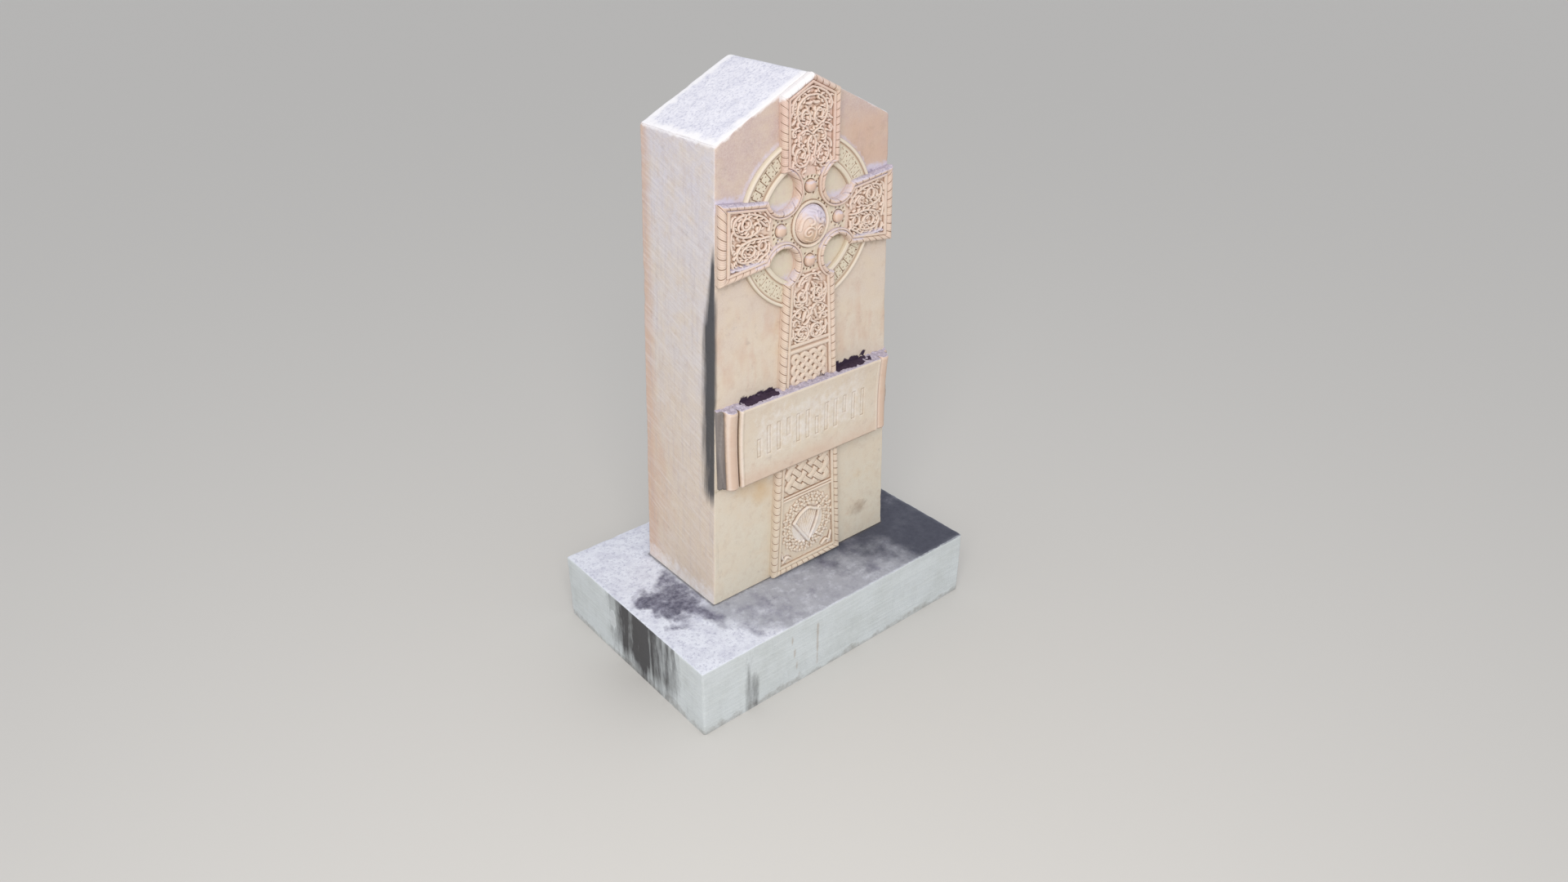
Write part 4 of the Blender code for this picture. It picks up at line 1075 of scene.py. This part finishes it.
def head_strands():
    """Scrollwork of the cross's head: under the gable, on the side arms and below the middle."""
    top = laid([
        (0.0125, 0.5, ((0, 2.079), (0.03, 2.071), (0.062, 2.056), (0.086, 2.034), (0.094, 2.008), (0.084, 1.99),
                       (0.070, 1.996))),
        (0.0115, 0.6, ((0, 2.05), (0.024, 2.049), (0.05, 2.036), (0.068, 2.014), (0.07, 1.98), (0.054, 1.952),
                       (0.03, 1.944), (0.012, 1.96), (0.014, 1.986), (0.034, 2.0), (0.05, 1.988), (0.048, 1.97),
                       (0.034, 1.966))),
        (0.014, 0.2, ((0.003, 2.028), (0.016, 2.022), (0.032, 2.024))),
        (0.013, 0.2, ((0.078, 1.975), (0.088, 1.962), (0.1, 1.955))),
        (0.010, 0.5, ((0.062, 1.944), (0.08, 1.94), (0.094, 1.928), (0.09, 1.912), (0.078, 1.914))),
        (0.0105, 0.5, ((0, 1.912), (0.022, 1.926), (0.045, 1.926), (0.062, 1.912), (0.064, 1.893), (0.05, 1.885))),
        (0.0115, 0.6, ((-0.02, 1.93), (0, 1.912), (0.018, 1.888), (0.016, 1.856), (0.012, 1.84), (0.018, 1.815),
                       (0.042, 1.8), (0.07, 1.808), (0.082, 1.833), (0.072, 1.858), (0.05, 1.866), (0.034, 1.85),
                       (0.040, 1.83), (0.054, 1.834))),
        (0.012, 0.2, ((0.078, 1.888), (0.092, 1.872), (0.094, 1.85))),
        (0.010, 0.3, ((0.09, 1.826), (0.094, 1.805), (0.08, 1.788), (0.062, 1.786))),
        (0.015, 0.25, ((0.03, 1.786), (0.038, 1.772), (0.036, 1.755))),
    ])
    shaft = laid([
        (0.011, 0.4, ((0, 1.376), (0.03, 1.37), (0.05, 1.356), (0.06, 1.335))),
        (0.012, 0.2, ((0.016, 1.353), (0.032, 1.351), (0.046, 1.341))),
        (0.0125, 0.7, ((0.012, 1.34), (0.021, 1.318), (0.018, 1.293), (0.022, 1.275), (0.04, 1.268),
                       (0.058, 1.278), (0.06, 1.298), (0.046, 1.308), (0.036, 1.298), (0.042, 1.288))),
        (0.0115, 0.5, ((0.078, 1.325), (0.084, 1.295), (0.078, 1.265), (0.06, 1.252), (0.036, 1.246),
                       (0.018, 1.236), (0.006, 1.215), (0.002, 1.19))),
        (0.009, 0.5, ((0.044, 1.245), (0.066, 1.238), (0.078, 1.224), (0.066, 1.208), (0.052, 1.214),
                      (0.054, 1.226))),
        (0.014, 0.3, ((0.024, 1.226), (0.03, 1.207), (0.038, 1.188))),
        (0.010, 0.4, ((0.052, 1.178), (0.062, 1.196), (0.080, 1.196), (0.086, 1.18), (0.074, 1.174))),
        (0.0115, 0.6, ((0.088, 1.162), (0.085, 1.132), (0.068, 1.111), (0.04, 1.103), (0.016, 1.111),
                       (0.006, 1.131), (0.014, 1.153), (0.036, 1.161), (0.056, 1.152), (0.06, 1.134),
                       (0.044, 1.125), (0.034, 1.134))),
        (0.010, 0.4, ((0, 1.2), (0.012, 1.178), (0.03, 1.17))),
    ])
    ring = hoop((0.311, 0.061), 0.0205, 0.0205)
    low_ring = hoop((0.238, -0.035), 0.018, 0.018)
    low_oval = hoop((0.305, -0.045), 0.031, 0.021)
    arm = laid([
        (0.012, 0.6, ((0.208, 0.017), (0.205, 0.04), (0.222, 0.065),
                      (0.255, 0.083), (0.3, 0.095), (0.345, 0.092),
                      (0.37, 0.07), (0.364, 0.036), (0.335, 0.018),
                      (0.3, 0.012), (0.262, 0.022), (0.246, 0.042),
                      (0.262, 0.056), (0.278, 0.048))),
        (0.0105, 1.0, ring),
        (0.012, 0.25, ((0.222, 0.036), (0.232, 0.048), (0.25, 0.064))),
        (0.010, 0.3, ((0.338, 0.074), (0.348, 0.056), (0.342, 0.034))),
        (0.012, 0.35, ((0.381, 0.04), (0.385, 0.002), (0.376, -0.04))),
        (0.012, 0.5, ((0.206, -0.006), (0.24, -0.006), (0.275, -0.002),
                      (0.31, -0.006), (0.345, -0.02), (0.36, -0.05),
                      (0.342, -0.076), (0.3, -0.082), (0.265, -0.072),
                      (0.258, -0.052))),
        (0.0095, 1.0, low_ring),
        (0.010, 1.0, low_oval),
        (0.0115, 0.4, ((0.205, -0.03), (0.212, -0.062), (0.24, -0.078),
                       (0.27, -0.096), (0.32, -0.103), (0.37, -0.098),
                       (0.383, -0.07))),
        (0.011, 0.25, ((0.206, -0.084), (0.222, -0.09), (0.24, -0.1))),
        (0.011, 0.25, ((0.37, 0.098), (0.38, 0.085), (0.383, 0.06))),
    ], CROSS_CENTRE)
    return both_sides(top + shaft + arm)


def head_heights(x, y):
    """Heights of the cross's head: its scrollwork, its middle boss and the studs round it."""
    strands = head_strands()
    heights = carve(x, y, ground(x, y), strands + leafy(strands), 0.0018, 0.0018)
    centre = (0, CROSS_CENTRE)
    away = np.hypot(x, y - CROSS_CENTRE)
    heights = np.where(away < 0.18 - 0.04 * abs(np.sin(2 * np.arctan2(y - CROSS_CENTRE, x))),
                       ground(x, y, 0.0010), heights)
    eyes = [(0.031, 1.964), (0.037, 1.77), (0.313, CROSS_CENTRE + 0.061), (0.298, CROSS_CENTRE - 0.045),
            (0.06, 1.918), (0.04, 1.176)]
    eyes += [(-a, b) for a, b in eyes] + [(0, 1.999), (-0.003, 1.256)]
    heights = drill(x, y, heights, eyes, 0.0062, 0.008)
    ring = window(away, 0.0785, 0.0895, 0.0012)
    heights = np.where(ring > 0.02, np.maximum(heights, GROUND + ring * 0.012), heights)
    heights = add_dome(x, y, heights, centre, BOSS_RADIUS, GROUND, BOSS_CROWN)
    inner = away < BOSS_INNER
    etched = carve(x, y, heights - np.where(inner, BOSS_SINK, 0), boss_curls(), 0.001)
    heights = np.where(inner, etched, heights)
    holes = []
    for quarter in range(4):
        turn = quarter * math.tau / 4
        ahead = np.array([math.cos(turn), math.sin(turn)])
        aside = np.array([-ahead[1], ahead[0]])
        stud = np.array(centre) + ahead * STUD_OUT
        heights = add_dome(x, y, heights, stud, STUD_RADIUS, GROUND, STUD_CROWN)
        for out, over in ((0.034, 0.010), (0.034, -0.010), (0.03, 0.026), (0.03, -0.026), (-0.029, 0.019),
                          (-0.029, -0.019), (0.010, 0.034), (0.010, -0.034), (-0.010, 0.035), (-0.010, -0.035),
                          (0.0, 0.050), (0.0, -0.050), (0.018, 0.045), (0.018, -0.045)):
            holes.append(stud + ahead * out + aside * over)
    for diagonal in range(4):
        for swing in (-0.3, -0.1, 0.1, 0.3):
            turn = (diagonal + 0.5) * math.tau / 4 + swing
            holes.append((0.099 * math.cos(turn), CROSS_CENTRE + 0.099 * math.sin(turn)))
    holes += [(0.02, CROSS_CENTRE + 0.045), (0.036, CROSS_CENTRE + 0.036), (0.03, CROSS_CENTRE + 0.02)]
    heights = drill(x, y, heights, holes, 0.0050, 0.009)
    diamond = 1 - (abs(x) / 0.022 + abs(y - 1.817) / 0.025)
    return np.where(diamond > 0, np.maximum(heights, GROUND + 0.016 * np.clip(diamond * 1.8, 0, 1)), heights)


def boss_curls():
    """Curls cut round the big boss, over its lower half above all."""
    middle = CROSS_CENTRE
    rise = BOSS_SINK
    return [
        strand(spiral((0.030, middle - 0.026), 0.024, 0.004, 150, -420), 0.0085, rise),
        strand(spiral((-0.028, middle - 0.024), 0.024, 0.004, 30, 520), 0.0085, rise),
        strand(smooth([(-0.064, middle - 0.012), (-0.056, middle + 0.02), (-0.036, middle + 0.038),
                       (-0.012, middle + 0.034), (-0.006, middle + 0.012), (-0.022, middle + 0.006)]),
               0.010, rise),
        strand(smooth([(0.064, middle - 0.006), (0.05, middle + 0.012), (0.03, middle + 0.008),
                       (0.01, middle + 0.022), (0.008, middle + 0.05), (-0.02, middle + 0.062)]), 0.012, rise),
        strand(smooth([(0.026, middle + 0.06), (0.046, middle + 0.045), (0.058, middle + 0.026)]), 0.016, rise),
        strand(smooth([(0.0, middle - 0.002), (0.002, middle - 0.03), (0, middle - 0.062)]), 0.008, rise, 0.4),
        strand(smooth([(-0.034, middle - 0.056), (0, middle - 0.068), (0.034, middle - 0.056)]), 0.008, rise, 0.4),
    ]


def inside_border(x, y):
    """Which places lie inside the fillets of the cross's border."""
    places, turns = outline(PANEL_INSET, 0.01)
    return inside_polygon(x, y, [place[:] for place in places])


def head_panel(left, right, low, high, cell):
    """One part of the cross's head, kept inside the fillets of the border."""
    x, y = grid(left, right, low, high, cell)
    return relief(x, y, head_heights(x, y), kept_cells(inside_border(x, y)))


def strand_loops(columns, rows):
    """The closed strands of a plait on a lattice of half cells, each a list of lattice places."""
    seen, loops = set(), []
    starts = [(i, j) for i in range(2 * columns + 1) for j in range(2 * rows + 1) if (i + j) % 2]
    for start in starts:
        for way in ((1, 1), (1, -1)):
            place, step, loop = start, way, []
            while (place, step[0] * step[1]) not in seen:
                seen.add((place, step[0] * step[1]))
                loop.append(place)
                if place[0] + step[0] not in range(2 * columns + 1):
                    step = (-step[0], step[1])
                    seen.add((place, step[0] * step[1]))
                if place[1] + step[1] not in range(2 * rows + 1):
                    step = (step[0], -step[1])
                    seen.add((place, step[0] * step[1]))
                place = (place[0] + step[0], place[1] + step[1])
            if loop:
                loops.append(loop)
    return loops


def plait_strands(low, cell, band, columns, rows):
    """The bands of a plait, each riding over and under the others in turn."""
    strands = []
    for loop in strand_loops(columns, rows):
        knots, lifts = [], []
        count = len(loop)
        for k, place in enumerate(loop):
            axis = 0 if place[0] in (0, 2 * columns) else 1 if place[1] in (0, 2 * rows) else None
            after = loop[(k + 1) % count]
            spot = list(place)
            lift = 0.0
            if axis is None:
                rising = (after[0] - place[0]) * (after[1] - place[1]) > 0
                lift = PLAIT_LIFT if rising == (place[0] % 2 == 1) else -PLAIT_LIFT
            else:
                spot[axis] += 0.34 if place[axis] == 0 else -0.34
            knots.append(((spot[0] / 2 - columns / 2) * cell, low + spot[1] / 2 * cell))
            lifts.append(lift)
        path = smooth([knots[-1]] + knots + knots[:2], 6)[6:-6]
        lift = np.interp(np.arange(len(path)) / 6, np.arange(len(lifts) + 1), lifts + lifts[:1])
        strands.append(strand(path, band, 0.0105, lift=lift))
    return strands


def panel_mask(x, y, low, high):
    """Cells of a shaft panel that reach just under the fillets round it."""
    return kept_cells(inside_border(x, y) & (y > low) & (y < high))


def plait_panel(low, high, first, cell, band, rows):
    """A panel of plaitwork on the shaft."""
    half = shaft_half(low)
    x, y = grid(-half, half, low - 0.004, high + 0.004, PLAIT_CELL)
    strands = plait_strands(first, cell, band, PLAIT_COLUMNS, rows)
    heights = carve(x, y, ground(x, y), strands, 0.0016, 0.0012, band * 0.21, 8)
    heights = np.where(y > high - 0.001, SUNK + 0.002, heights)
    return relief(x, y, heights, panel_mask(x, y, low - 0.004, high + 0.004))


def harp_strands(centre):
    """A plain harp with its strings, a wreath of three-lobed leaves round it and leaves in the corners."""
    def at(across, up):
        return (centre[0] + across * WREATH_WIDTH, centre[1] + up * WREATH_HEIGHT)

    foot, shoulder, head = at(0.02, -0.4), at(-0.33, 0.1), at(0.27, 0.2)
    rise = 0.0115
    strands = [
        strand(smooth([shoulder, at(-0.155, -0.15), foot]), 0.014, rise),
        strand(smooth([head, at(0.24, 0.02), at(0.14, -0.2), foot]), 0.011, rise),
        strand(smooth([shoulder, at(-0.2, 0.24), at(0, 0.32), at(0.15, 0.25), head]), 0.014, rise + 0.001),
        strand(spiral(at(0.27, 0.225), 0.012, 0.003, -90, 260), 0.008, rise + 0.001),
    ]
    for k in range(STRINGS):
        share = (k + 1) / (STRINGS + 1)
        top = (shoulder[0] + (head[0] - shoulder[0]) * share,
               shoulder[1] + (head[1] - shoulder[1]) * share + 0.03 * math.sin(math.pi * share))
        end = (shoulder[0] + (foot[0] - shoulder[0]) * share ** 0.7,
               shoulder[1] + (foot[1] - shoulder[1]) * share ** 0.7)
        strands.append(strand(np.array([top, end]), 0.0046, 0.005))
    for ring, count, turn in ((0.105, 21, 0.0), (0.133, 26, 0.5)):
        for k in range(count):
            angle = math.tau * (k + turn) / count
            spot = np.array([centre[0] + math.cos(angle) * ring, centre[1] + math.sin(angle) * ring * 1.01])
            for lobe in range(3):
                aim = angle * 1.7 + math.tau * lobe / 3
                way = np.array([math.cos(aim), math.sin(aim)])
                path = smooth([spot + way * 0.001, spot + way * 0.0150], 4)
                lift = np.full(len(path), -0.0008 - 0.0008 * lobe)
                strands.append(strand(path, 0.0146, 0.009, 0.45, lift))
    for sign in (1, -1):
        strands.append(strand(smooth([(sign * 0.088, 0.068), (sign * 0.115, 0.084), (sign * 0.142, 0.066)]),
                              0.011, rise, 0.4))
        strands.append(strand(smooth([(sign * 0.125, 0.062), (sign * 0.14, 0.092), (sign * 0.145, 0.12)]),
                              0.009, rise, 0.4))
    return strands


def harp_panel():
    """The panel at the cross's foot, with the harp and its wreath."""
    low = CROSS_FOOT + PANEL_INSET
    half = shaft_half(low)
    x, y = grid(-half, half, low, HARP_PANEL + 0.004, PLAIT_CELL)
    heights = ground(x, y, 0.0003)
    oval = harp_oval(x, y)
    heights = np.where(oval < 1, GROUND + 0.0025, heights)
    heights = carve(x, y, heights, harp_strands(HARP_CENTRE), 0.0011, flat=8)
    return relief(x, y, heights, panel_mask(x, y, low, HARP_PANEL + 0.004))


def divider(low, height):
    """A pair of flat fillets across the shaft with a groove between them."""
    half = shaft_half(low) - ROPE_WIDTH
    x, y = np.meshgrid(np.linspace(-half, half, 60), low + height * np.linspace(0, 1, 17))
    share = (y - low) / height
    edge = np.minimum(share, 1 - share) * height
    heights = DIVIDER_TOP - 0.006 * (1 - fade(edge, 0, 0.002))
    heights = heights - 0.007 * (1 - fade(abs(share - 0.5) * height, height * 0.1, height * 0.1 + 0.003))
    return relief(x, y, heights)


def ring_arc(start):
    """One quarter's visible arc of the ring: a sunk field cut with a fret, between two raised fillets."""
    radii = np.linspace(RING_INNER, RING_OUTER, 57)
    angles = np.radians(np.linspace(start + 22, start + 68, 126))
    radius, angle = np.meshgrid(radii, angles)
    field_in, field_out = RING_INNER + RING_INNER_FILLET, RING_OUTER - RING_OUTER_FILLET
    inside = window(radius, field_in, field_out, 0.0012)
    heights = RING_TOP - (RING_TOP - RING_FIELD) * inside
    edge = np.minimum(radius - RING_INNER, RING_OUTER - radius)
    heights = heights - 0.003 * (1 - fade(edge, 0, 0.004))
    middle = (field_in + field_out) / 2
    along = angle * middle / FRET_CELL
    u = ((along % 1) - 0.5) * FRET_CELL
    v = radius - middle
    turned = (np.floor(along) % 2) * 2 - 1
    marks = [(abs(u) < 0.0016) & (abs(v) < 0.02),
             (abs(u) < 0.008) & (abs(v - turned * 0.02) < 0.0016),
             (abs(u - turned * 0.006) < 0.0016) & (abs(v + turned * 0.02) < 0.006)]
    marks += [np.hypot(abs(u) - 0.010, v - turned * 0.006) < 0.0028,
              np.hypot(abs(u) - 0.0125, v + turned * 0.018) < 0.0026]
    heights = heights - np.where(np.any(marks, axis=0) & (inside > 0.9), FRET_DEPTH, 0)
    x = radius * np.cos(angle)
    y = CROSS_CENTRE + radius * np.sin(angle)
    return relief(x, y, heights)


def banner():
    """The scroll across the shaft: a hollow face with its row of strokes, rolled ends and folded tails."""
    roll = ROLL_WIDTH / 2
    centre = BANNER_FACE_HALF + roll
    tail_end = centre + roll + TAIL_WIDTH
    x, y = grid(-tail_end, tail_end, BANNER_FOOT, BANNER_FOOT + BANNER_HEIGHT, BANNER_CELL)
    share = (y - BANNER_FOOT) / BANNER_HEIGHT * 2 - 1
    front = BANNER_FRONT + np.where(share > 0, BANNER_TOP_CURL, BANNER_FOOT_CURL) * share ** 2
    side = abs(x)
    turn = np.clip((side - centre) / roll, -1, 1)
    rolled = front * (0.55 + 0.45 * np.sqrt(1 - turn ** 2))
    rim = 0.0022 * (1 - fade(abs(side - BANNER_FACE_HALF + 0.012), 0.004, 0.008))
    heights = np.where(side > BANNER_FACE_HALF + 0.001, rolled, front + rim)
    heights -= 0.022 * (1 - fade(abs(side - BANNER_FACE_HALF), 0.001, 0.006))
    up = (y - BANNER_FOOT) / BANNER_HEIGHT
    fold = side - centre - roll - TAIL_WIDTH * (1 - abs(up - 0.42) / 0.6)
    tail = front * 0.30 + 0.010 * (1 - fade(fold, -0.001, 0.001)) - 0.004 * up
    heights = np.where(side > centre + roll - 0.001, np.minimum(heights, tail), heights)
    for k in range(STROKES):
        across = (k - (STROKES - 1) / 2) * STROKE_PITCH
        length = STROKE_HEIGHT * (1 if k % 3 else 0.62)
        middle = BANNER_FOOT + BANNER_HEIGHT * 0.49 + (STROKE_HEIGHT - length) / 2 * (1 if k % 2 else -1)
        along = abs(y - middle)
        off = np.maximum(abs(x - across), along - length / 2 + STROKE_HALF)
        edge = np.clip(1 - abs(off - STROKE_HALF) / 0.0034, 0, 1)
        heights -= 0.0036 * edge + 0.0014 * (off < STROKE_HALF)
    edge = np.minimum(y - BANNER_FOOT, BANNER_FOOT + BANNER_HEIGHT - y)
    heights -= 0.005 * (1 - fade(edge, 0, 0.008))
    bm = relief(x, y, heights, floor=-0.004, skirt_cuts=14)
    crusted = BANNER_FOOT + BANNER_HEIGHT - 1e-5
    for vert in bm.verts:
        if vert.co.y > crusted and vert.co.z < BANNER_FRONT:
            lump = max(0, noise.noise(vert.co * 55) + 0.45) * max(0, noise.noise(vert.co * 17) + 0.7)
            vert.co.y += 0.014 * lump * (1 - max(0, vert.co.z) / 0.07)
    return bm


# Sidebar

class HeadstoneSizes(bpy.types.PropertyGroup):
    """Sizes of the carving that a user may change."""

    rope_pitch: bpy.props.FloatProperty(
        name="Rope pitch", description="Distance between two deep grooves of the rope border",
        default=0.037, min=0.01, unit="LENGTH", subtype="DISTANCE")
    sweep_step: bpy.props.FloatProperty(
        name="Sweep step", description="Length of the facets along the rope border",
        default=0.002, min=0.001, unit="LENGTH", subtype="DISTANCE")
    carving_cell: bpy.props.FloatProperty(
        name="Carving cell", description="Spacing of the grid that the scrollwork is cut on",
        default=0.0015, min=0.001, unit="LENGTH", subtype="DISTANCE")


class HeadstoneColours(bpy.types.PropertyGroup):
    """Colours of the stones under their weathering."""

    face: bpy.props.FloatVectorProperty(
        name="Face", description="Rubbed sandstone low on the tablet's face",
        default=linear("#DBD3C2"), size=4, min=0, max=1, subtype="COLOR")
    carving: bpy.props.FloatVectorProperty(
        name="Carving", description="Sandstone low on the carved cross",
        default=linear("#DFD1BE"), size=4, min=0, max=1, subtype="COLOR")
    base: bpy.props.FloatVectorProperty(
        name="Base", description="Tooled limestone of the base block",
        default=linear("#CED4D8"), size=4, min=0, max=1, subtype="COLOR")


class HeadstoneLight(bpy.types.PropertyGroup):
    """Strengths of the studio's light."""

    key: bpy.props.FloatProperty(name="Key", description="Power of the large soft light, in watts",
                                 default=190.0, min=0, unit="POWER")
    sky: bpy.props.FloatProperty(name="Sky", description="Strength of the light from all round", default=0.8, min=0)


class HEADSTONE_OT_base(bpy.types.Operator):
    """Builds the limestone base block"""

    bl_idname = "headstone.base"
    bl_label = "Base block"

    def execute(self, context):
        as_piece(base_block(), "base_block", "base", stone("limestone"), "base")
        return {"FINISHED"}


class HEADSTONE_OT_tablet(bpy.types.Operator):
    """Builds the tablet's plain block"""

    bl_idname = "headstone.tablet"
    bl_label = "Tablet block"

    def execute(self, context):
        as_piece(tablet_block(), "tablet_block", "tablet", stone("face"), "block")
        return {"FINISHED"}


class HEADSTONE_OT_cross(bpy.types.Operator):
    """Carves the cross: its border, head, ring and shaft panels"""

    bl_idname = "headstone.cross"
    bl_label = "Ringed cross"

    def execute(self, context):
        cell = frame_sizes().carving_cell
        arm = ARMPIT_ACROSS + ARMPIT_RADIUS - 0.012
        above = CROSS_CENTRE + ARMPIT_UP + ARMPIT_RADIUS - 0.03
        below = CROSS_CENTRE - ARMPIT_UP - ARMPIT_RADIUS + 0.024
        made = {
            "cross_border": ("border", border(frame_sizes().sweep_step)),
            "top_arm": ("head", head_panel(-0.12, 0.12, above, 2.115, cell)),
            "left_arm": ("head", head_panel(-0.42, -arm, 1.4, 1.75, cell)),
            "right_arm": ("head", head_panel(arm, 0.42, 1.4, 1.75, cell)),
            "cross_middle": ("head", head_panel(-arm - 0.001, arm + 0.001, below - 0.001, above + 0.001, cell)),
            "shaft_scrolls": ("head", head_panel(-0.14, 0.14, SCROLL_PANEL_FOOT - 0.001, below, cell)),
        }
        for k in range(4):
            made[f"ring_arc_{k + 1}"] = ("ring", ring_arc(k * 90))
        foot = HARP_PANEL + LOW_DIVIDER
        top = SCROLL_PANEL_FOOT - HIGH_DIVIDER
        made["low_divider"] = ("panel", divider(HARP_PANEL, LOW_DIVIDER))
        made["high_divider"] = ("panel", divider(top, HIGH_DIVIDER))
        behind = 0.02
        first = top - PLAIT_MARGIN - HIGH_PLAIT["rows"] * HIGH_PLAIT["cell"]
        made["low_plait"] = ("panel", plait_panel(foot, BANNER_FOOT + behind, foot + PLAIT_MARGIN, **LOW_PLAIT))
        made["high_plait"] = ("panel", plait_panel(BANNER_FOOT + BANNER_HEIGHT - behind, top, first, **HIGH_PLAIT))
        made["harp_panel"] = ("panel", harp_panel())
        for name, (kind, bm) in made.items():
            bmesh.ops.transform(bm, matrix=standing(), verts=bm.verts)
            as_piece(bm, name, "tablet", stone("cross"), kind)
        return {"FINISHED"}


class HEADSTONE_OT_banner(bpy.types.Operator):
    """Builds the banner across the shaft"""

    bl_idname = "headstone.banner"
    bl_label = "Banner"

    def execute(self, context):
        bm = banner()
        bmesh.ops.transform(bm, matrix=standing(), verts=bm.verts)
        as_piece(bm, "banner", "tablet", stone("face"), "banner")
        return {"FINISHED"}


class HEADSTONE_OT_stage(bpy.types.Operator):
    """Sets up the floor, the studio light and the camera"""

    bl_idname = "headstone.stage"
    bl_label = "Stage"

    def execute(self, context):
        scene = context.scene
        bm = bmesh.new()
        bmesh.ops.create_grid(bm, x_segments=2, y_segments=2, size=30)
        mesh = bpy.data.meshes.new("floor")
        bm.to_mesh(mesh)
        bm.free()
        material, tree, shader, place = start_material("plain floor")
        shader.inputs["Base Color"].default_value = linear("#CFCDCA")
        shader.inputs["Roughness"].default_value = 0.95
        mesh.materials.append(material)
        floor = bpy.data.objects.new("floor", mesh)
        scene.collection.objects.link(floor)

        world = bpy.data.worlds.new("studio")
        scene.world = world
        world.use_nodes = True
        world.node_tree.nodes["Background"].inputs["Color"].default_value = linear("#F3F4F6")
        world.node_tree.nodes["Background"].inputs["Strength"].default_value = scene.headstone_light.sky
        lamp = bpy.data.lights.new("key", "AREA")
        lamp.energy = scene.headstone_light.key
        lamp.size = 3.0
        lamp.color = linear("#FFFBF4")[:3]
        key = bpy.data.objects.new("key", lamp)
        key.location = (-3.3, -3.8, 4.6)
        key.rotation_euler = (Vector((0, 0, 1.2)) - key.location).to_track_quat("-Z", "Y").to_euler()
        scene.collection.objects.link(key)
        scene.view_settings.view_transform = "Standard"
        make_camera(scene)
        return {"FINISHED"}


def make_camera(scene):
    """The camera at the photograph's place and angle."""
    yaw, pitch, roll = (math.radians(angle) for angle in (40.485, 29.455, 0.378))
    heading = Vector((math.sin(yaw), math.cos(yaw), 0))
    right = Vector((math.cos(yaw), -math.sin(yaw), 0))
    forward = heading * math.cos(pitch) - Vector((0, 0, math.sin(pitch)))
    up = heading * math.sin(pitch) + Vector((0, 0, math.cos(pitch)))
    tilted_right = right * math.cos(roll) + up * math.sin(roll)
    tilted_up = up * math.cos(roll) - right * math.sin(roll)
    camera = bpy.data.objects.new("camera", bpy.data.cameras.new("camera"))
    camera.data.sensor_width = 36.0
    camera.data.lens = 1303.68 / 1920 * 36.0
    turn = Matrix((tilted_right, tilted_up, -forward)).transposed().to_4x4()
    camera.matrix_world = Matrix.Translation((-2.5776, -3.1298, 3.1628)) @ turn
    scene.collection.objects.link(camera)
    scene.camera = camera


class HEADSTONE_PT_panel(bpy.types.Panel):
    """The headstone's sizes, colours, light and operators in the sidebar"""

    bl_label = "Headstone"
    bl_space_type = "VIEW_3D"
    bl_region_type = "UI"
    bl_category = "Headstone"

    def draw(self, context):
        scene = context.scene
        for group in (scene.headstone_sizes, scene.headstone_colours, scene.headstone_light):
            for name in group.__annotations__:
                self.layout.prop(group, name)
        for operator in OPERATORS:
            self.layout.operator(operator.bl_idname)


OPERATORS = (HEADSTONE_OT_base, HEADSTONE_OT_tablet, HEADSTONE_OT_cross, HEADSTONE_OT_banner, HEADSTONE_OT_stage)
CLASSES = (HeadstoneSizes, HeadstoneColours, HeadstoneLight) + OPERATORS + (HEADSTONE_PT_panel,)


def register():
    for item in CLASSES:
        bpy.utils.register_class(item)
    bpy.types.Scene.headstone_sizes = bpy.props.PointerProperty(type=HeadstoneSizes)
    bpy.types.Scene.headstone_colours = bpy.props.PointerProperty(type=HeadstoneColours)
    bpy.types.Scene.headstone_light = bpy.props.PointerProperty(type=HeadstoneLight)


def unregister():
    del bpy.types.Scene.headstone_light
    del bpy.types.Scene.headstone_colours
    del bpy.types.Scene.headstone_sizes
    for item in reversed(CLASSES):
        bpy.utils.unregister_class(item)


def main():
    register()
    bpy.ops.headstone.base()
    bpy.ops.headstone.tablet()
    bpy.ops.headstone.cross()
    bpy.ops.headstone.banner()
    bpy.ops.headstone.stage()
    bpy.context.view_layer.update()


if __name__ == "__main__":
    main()
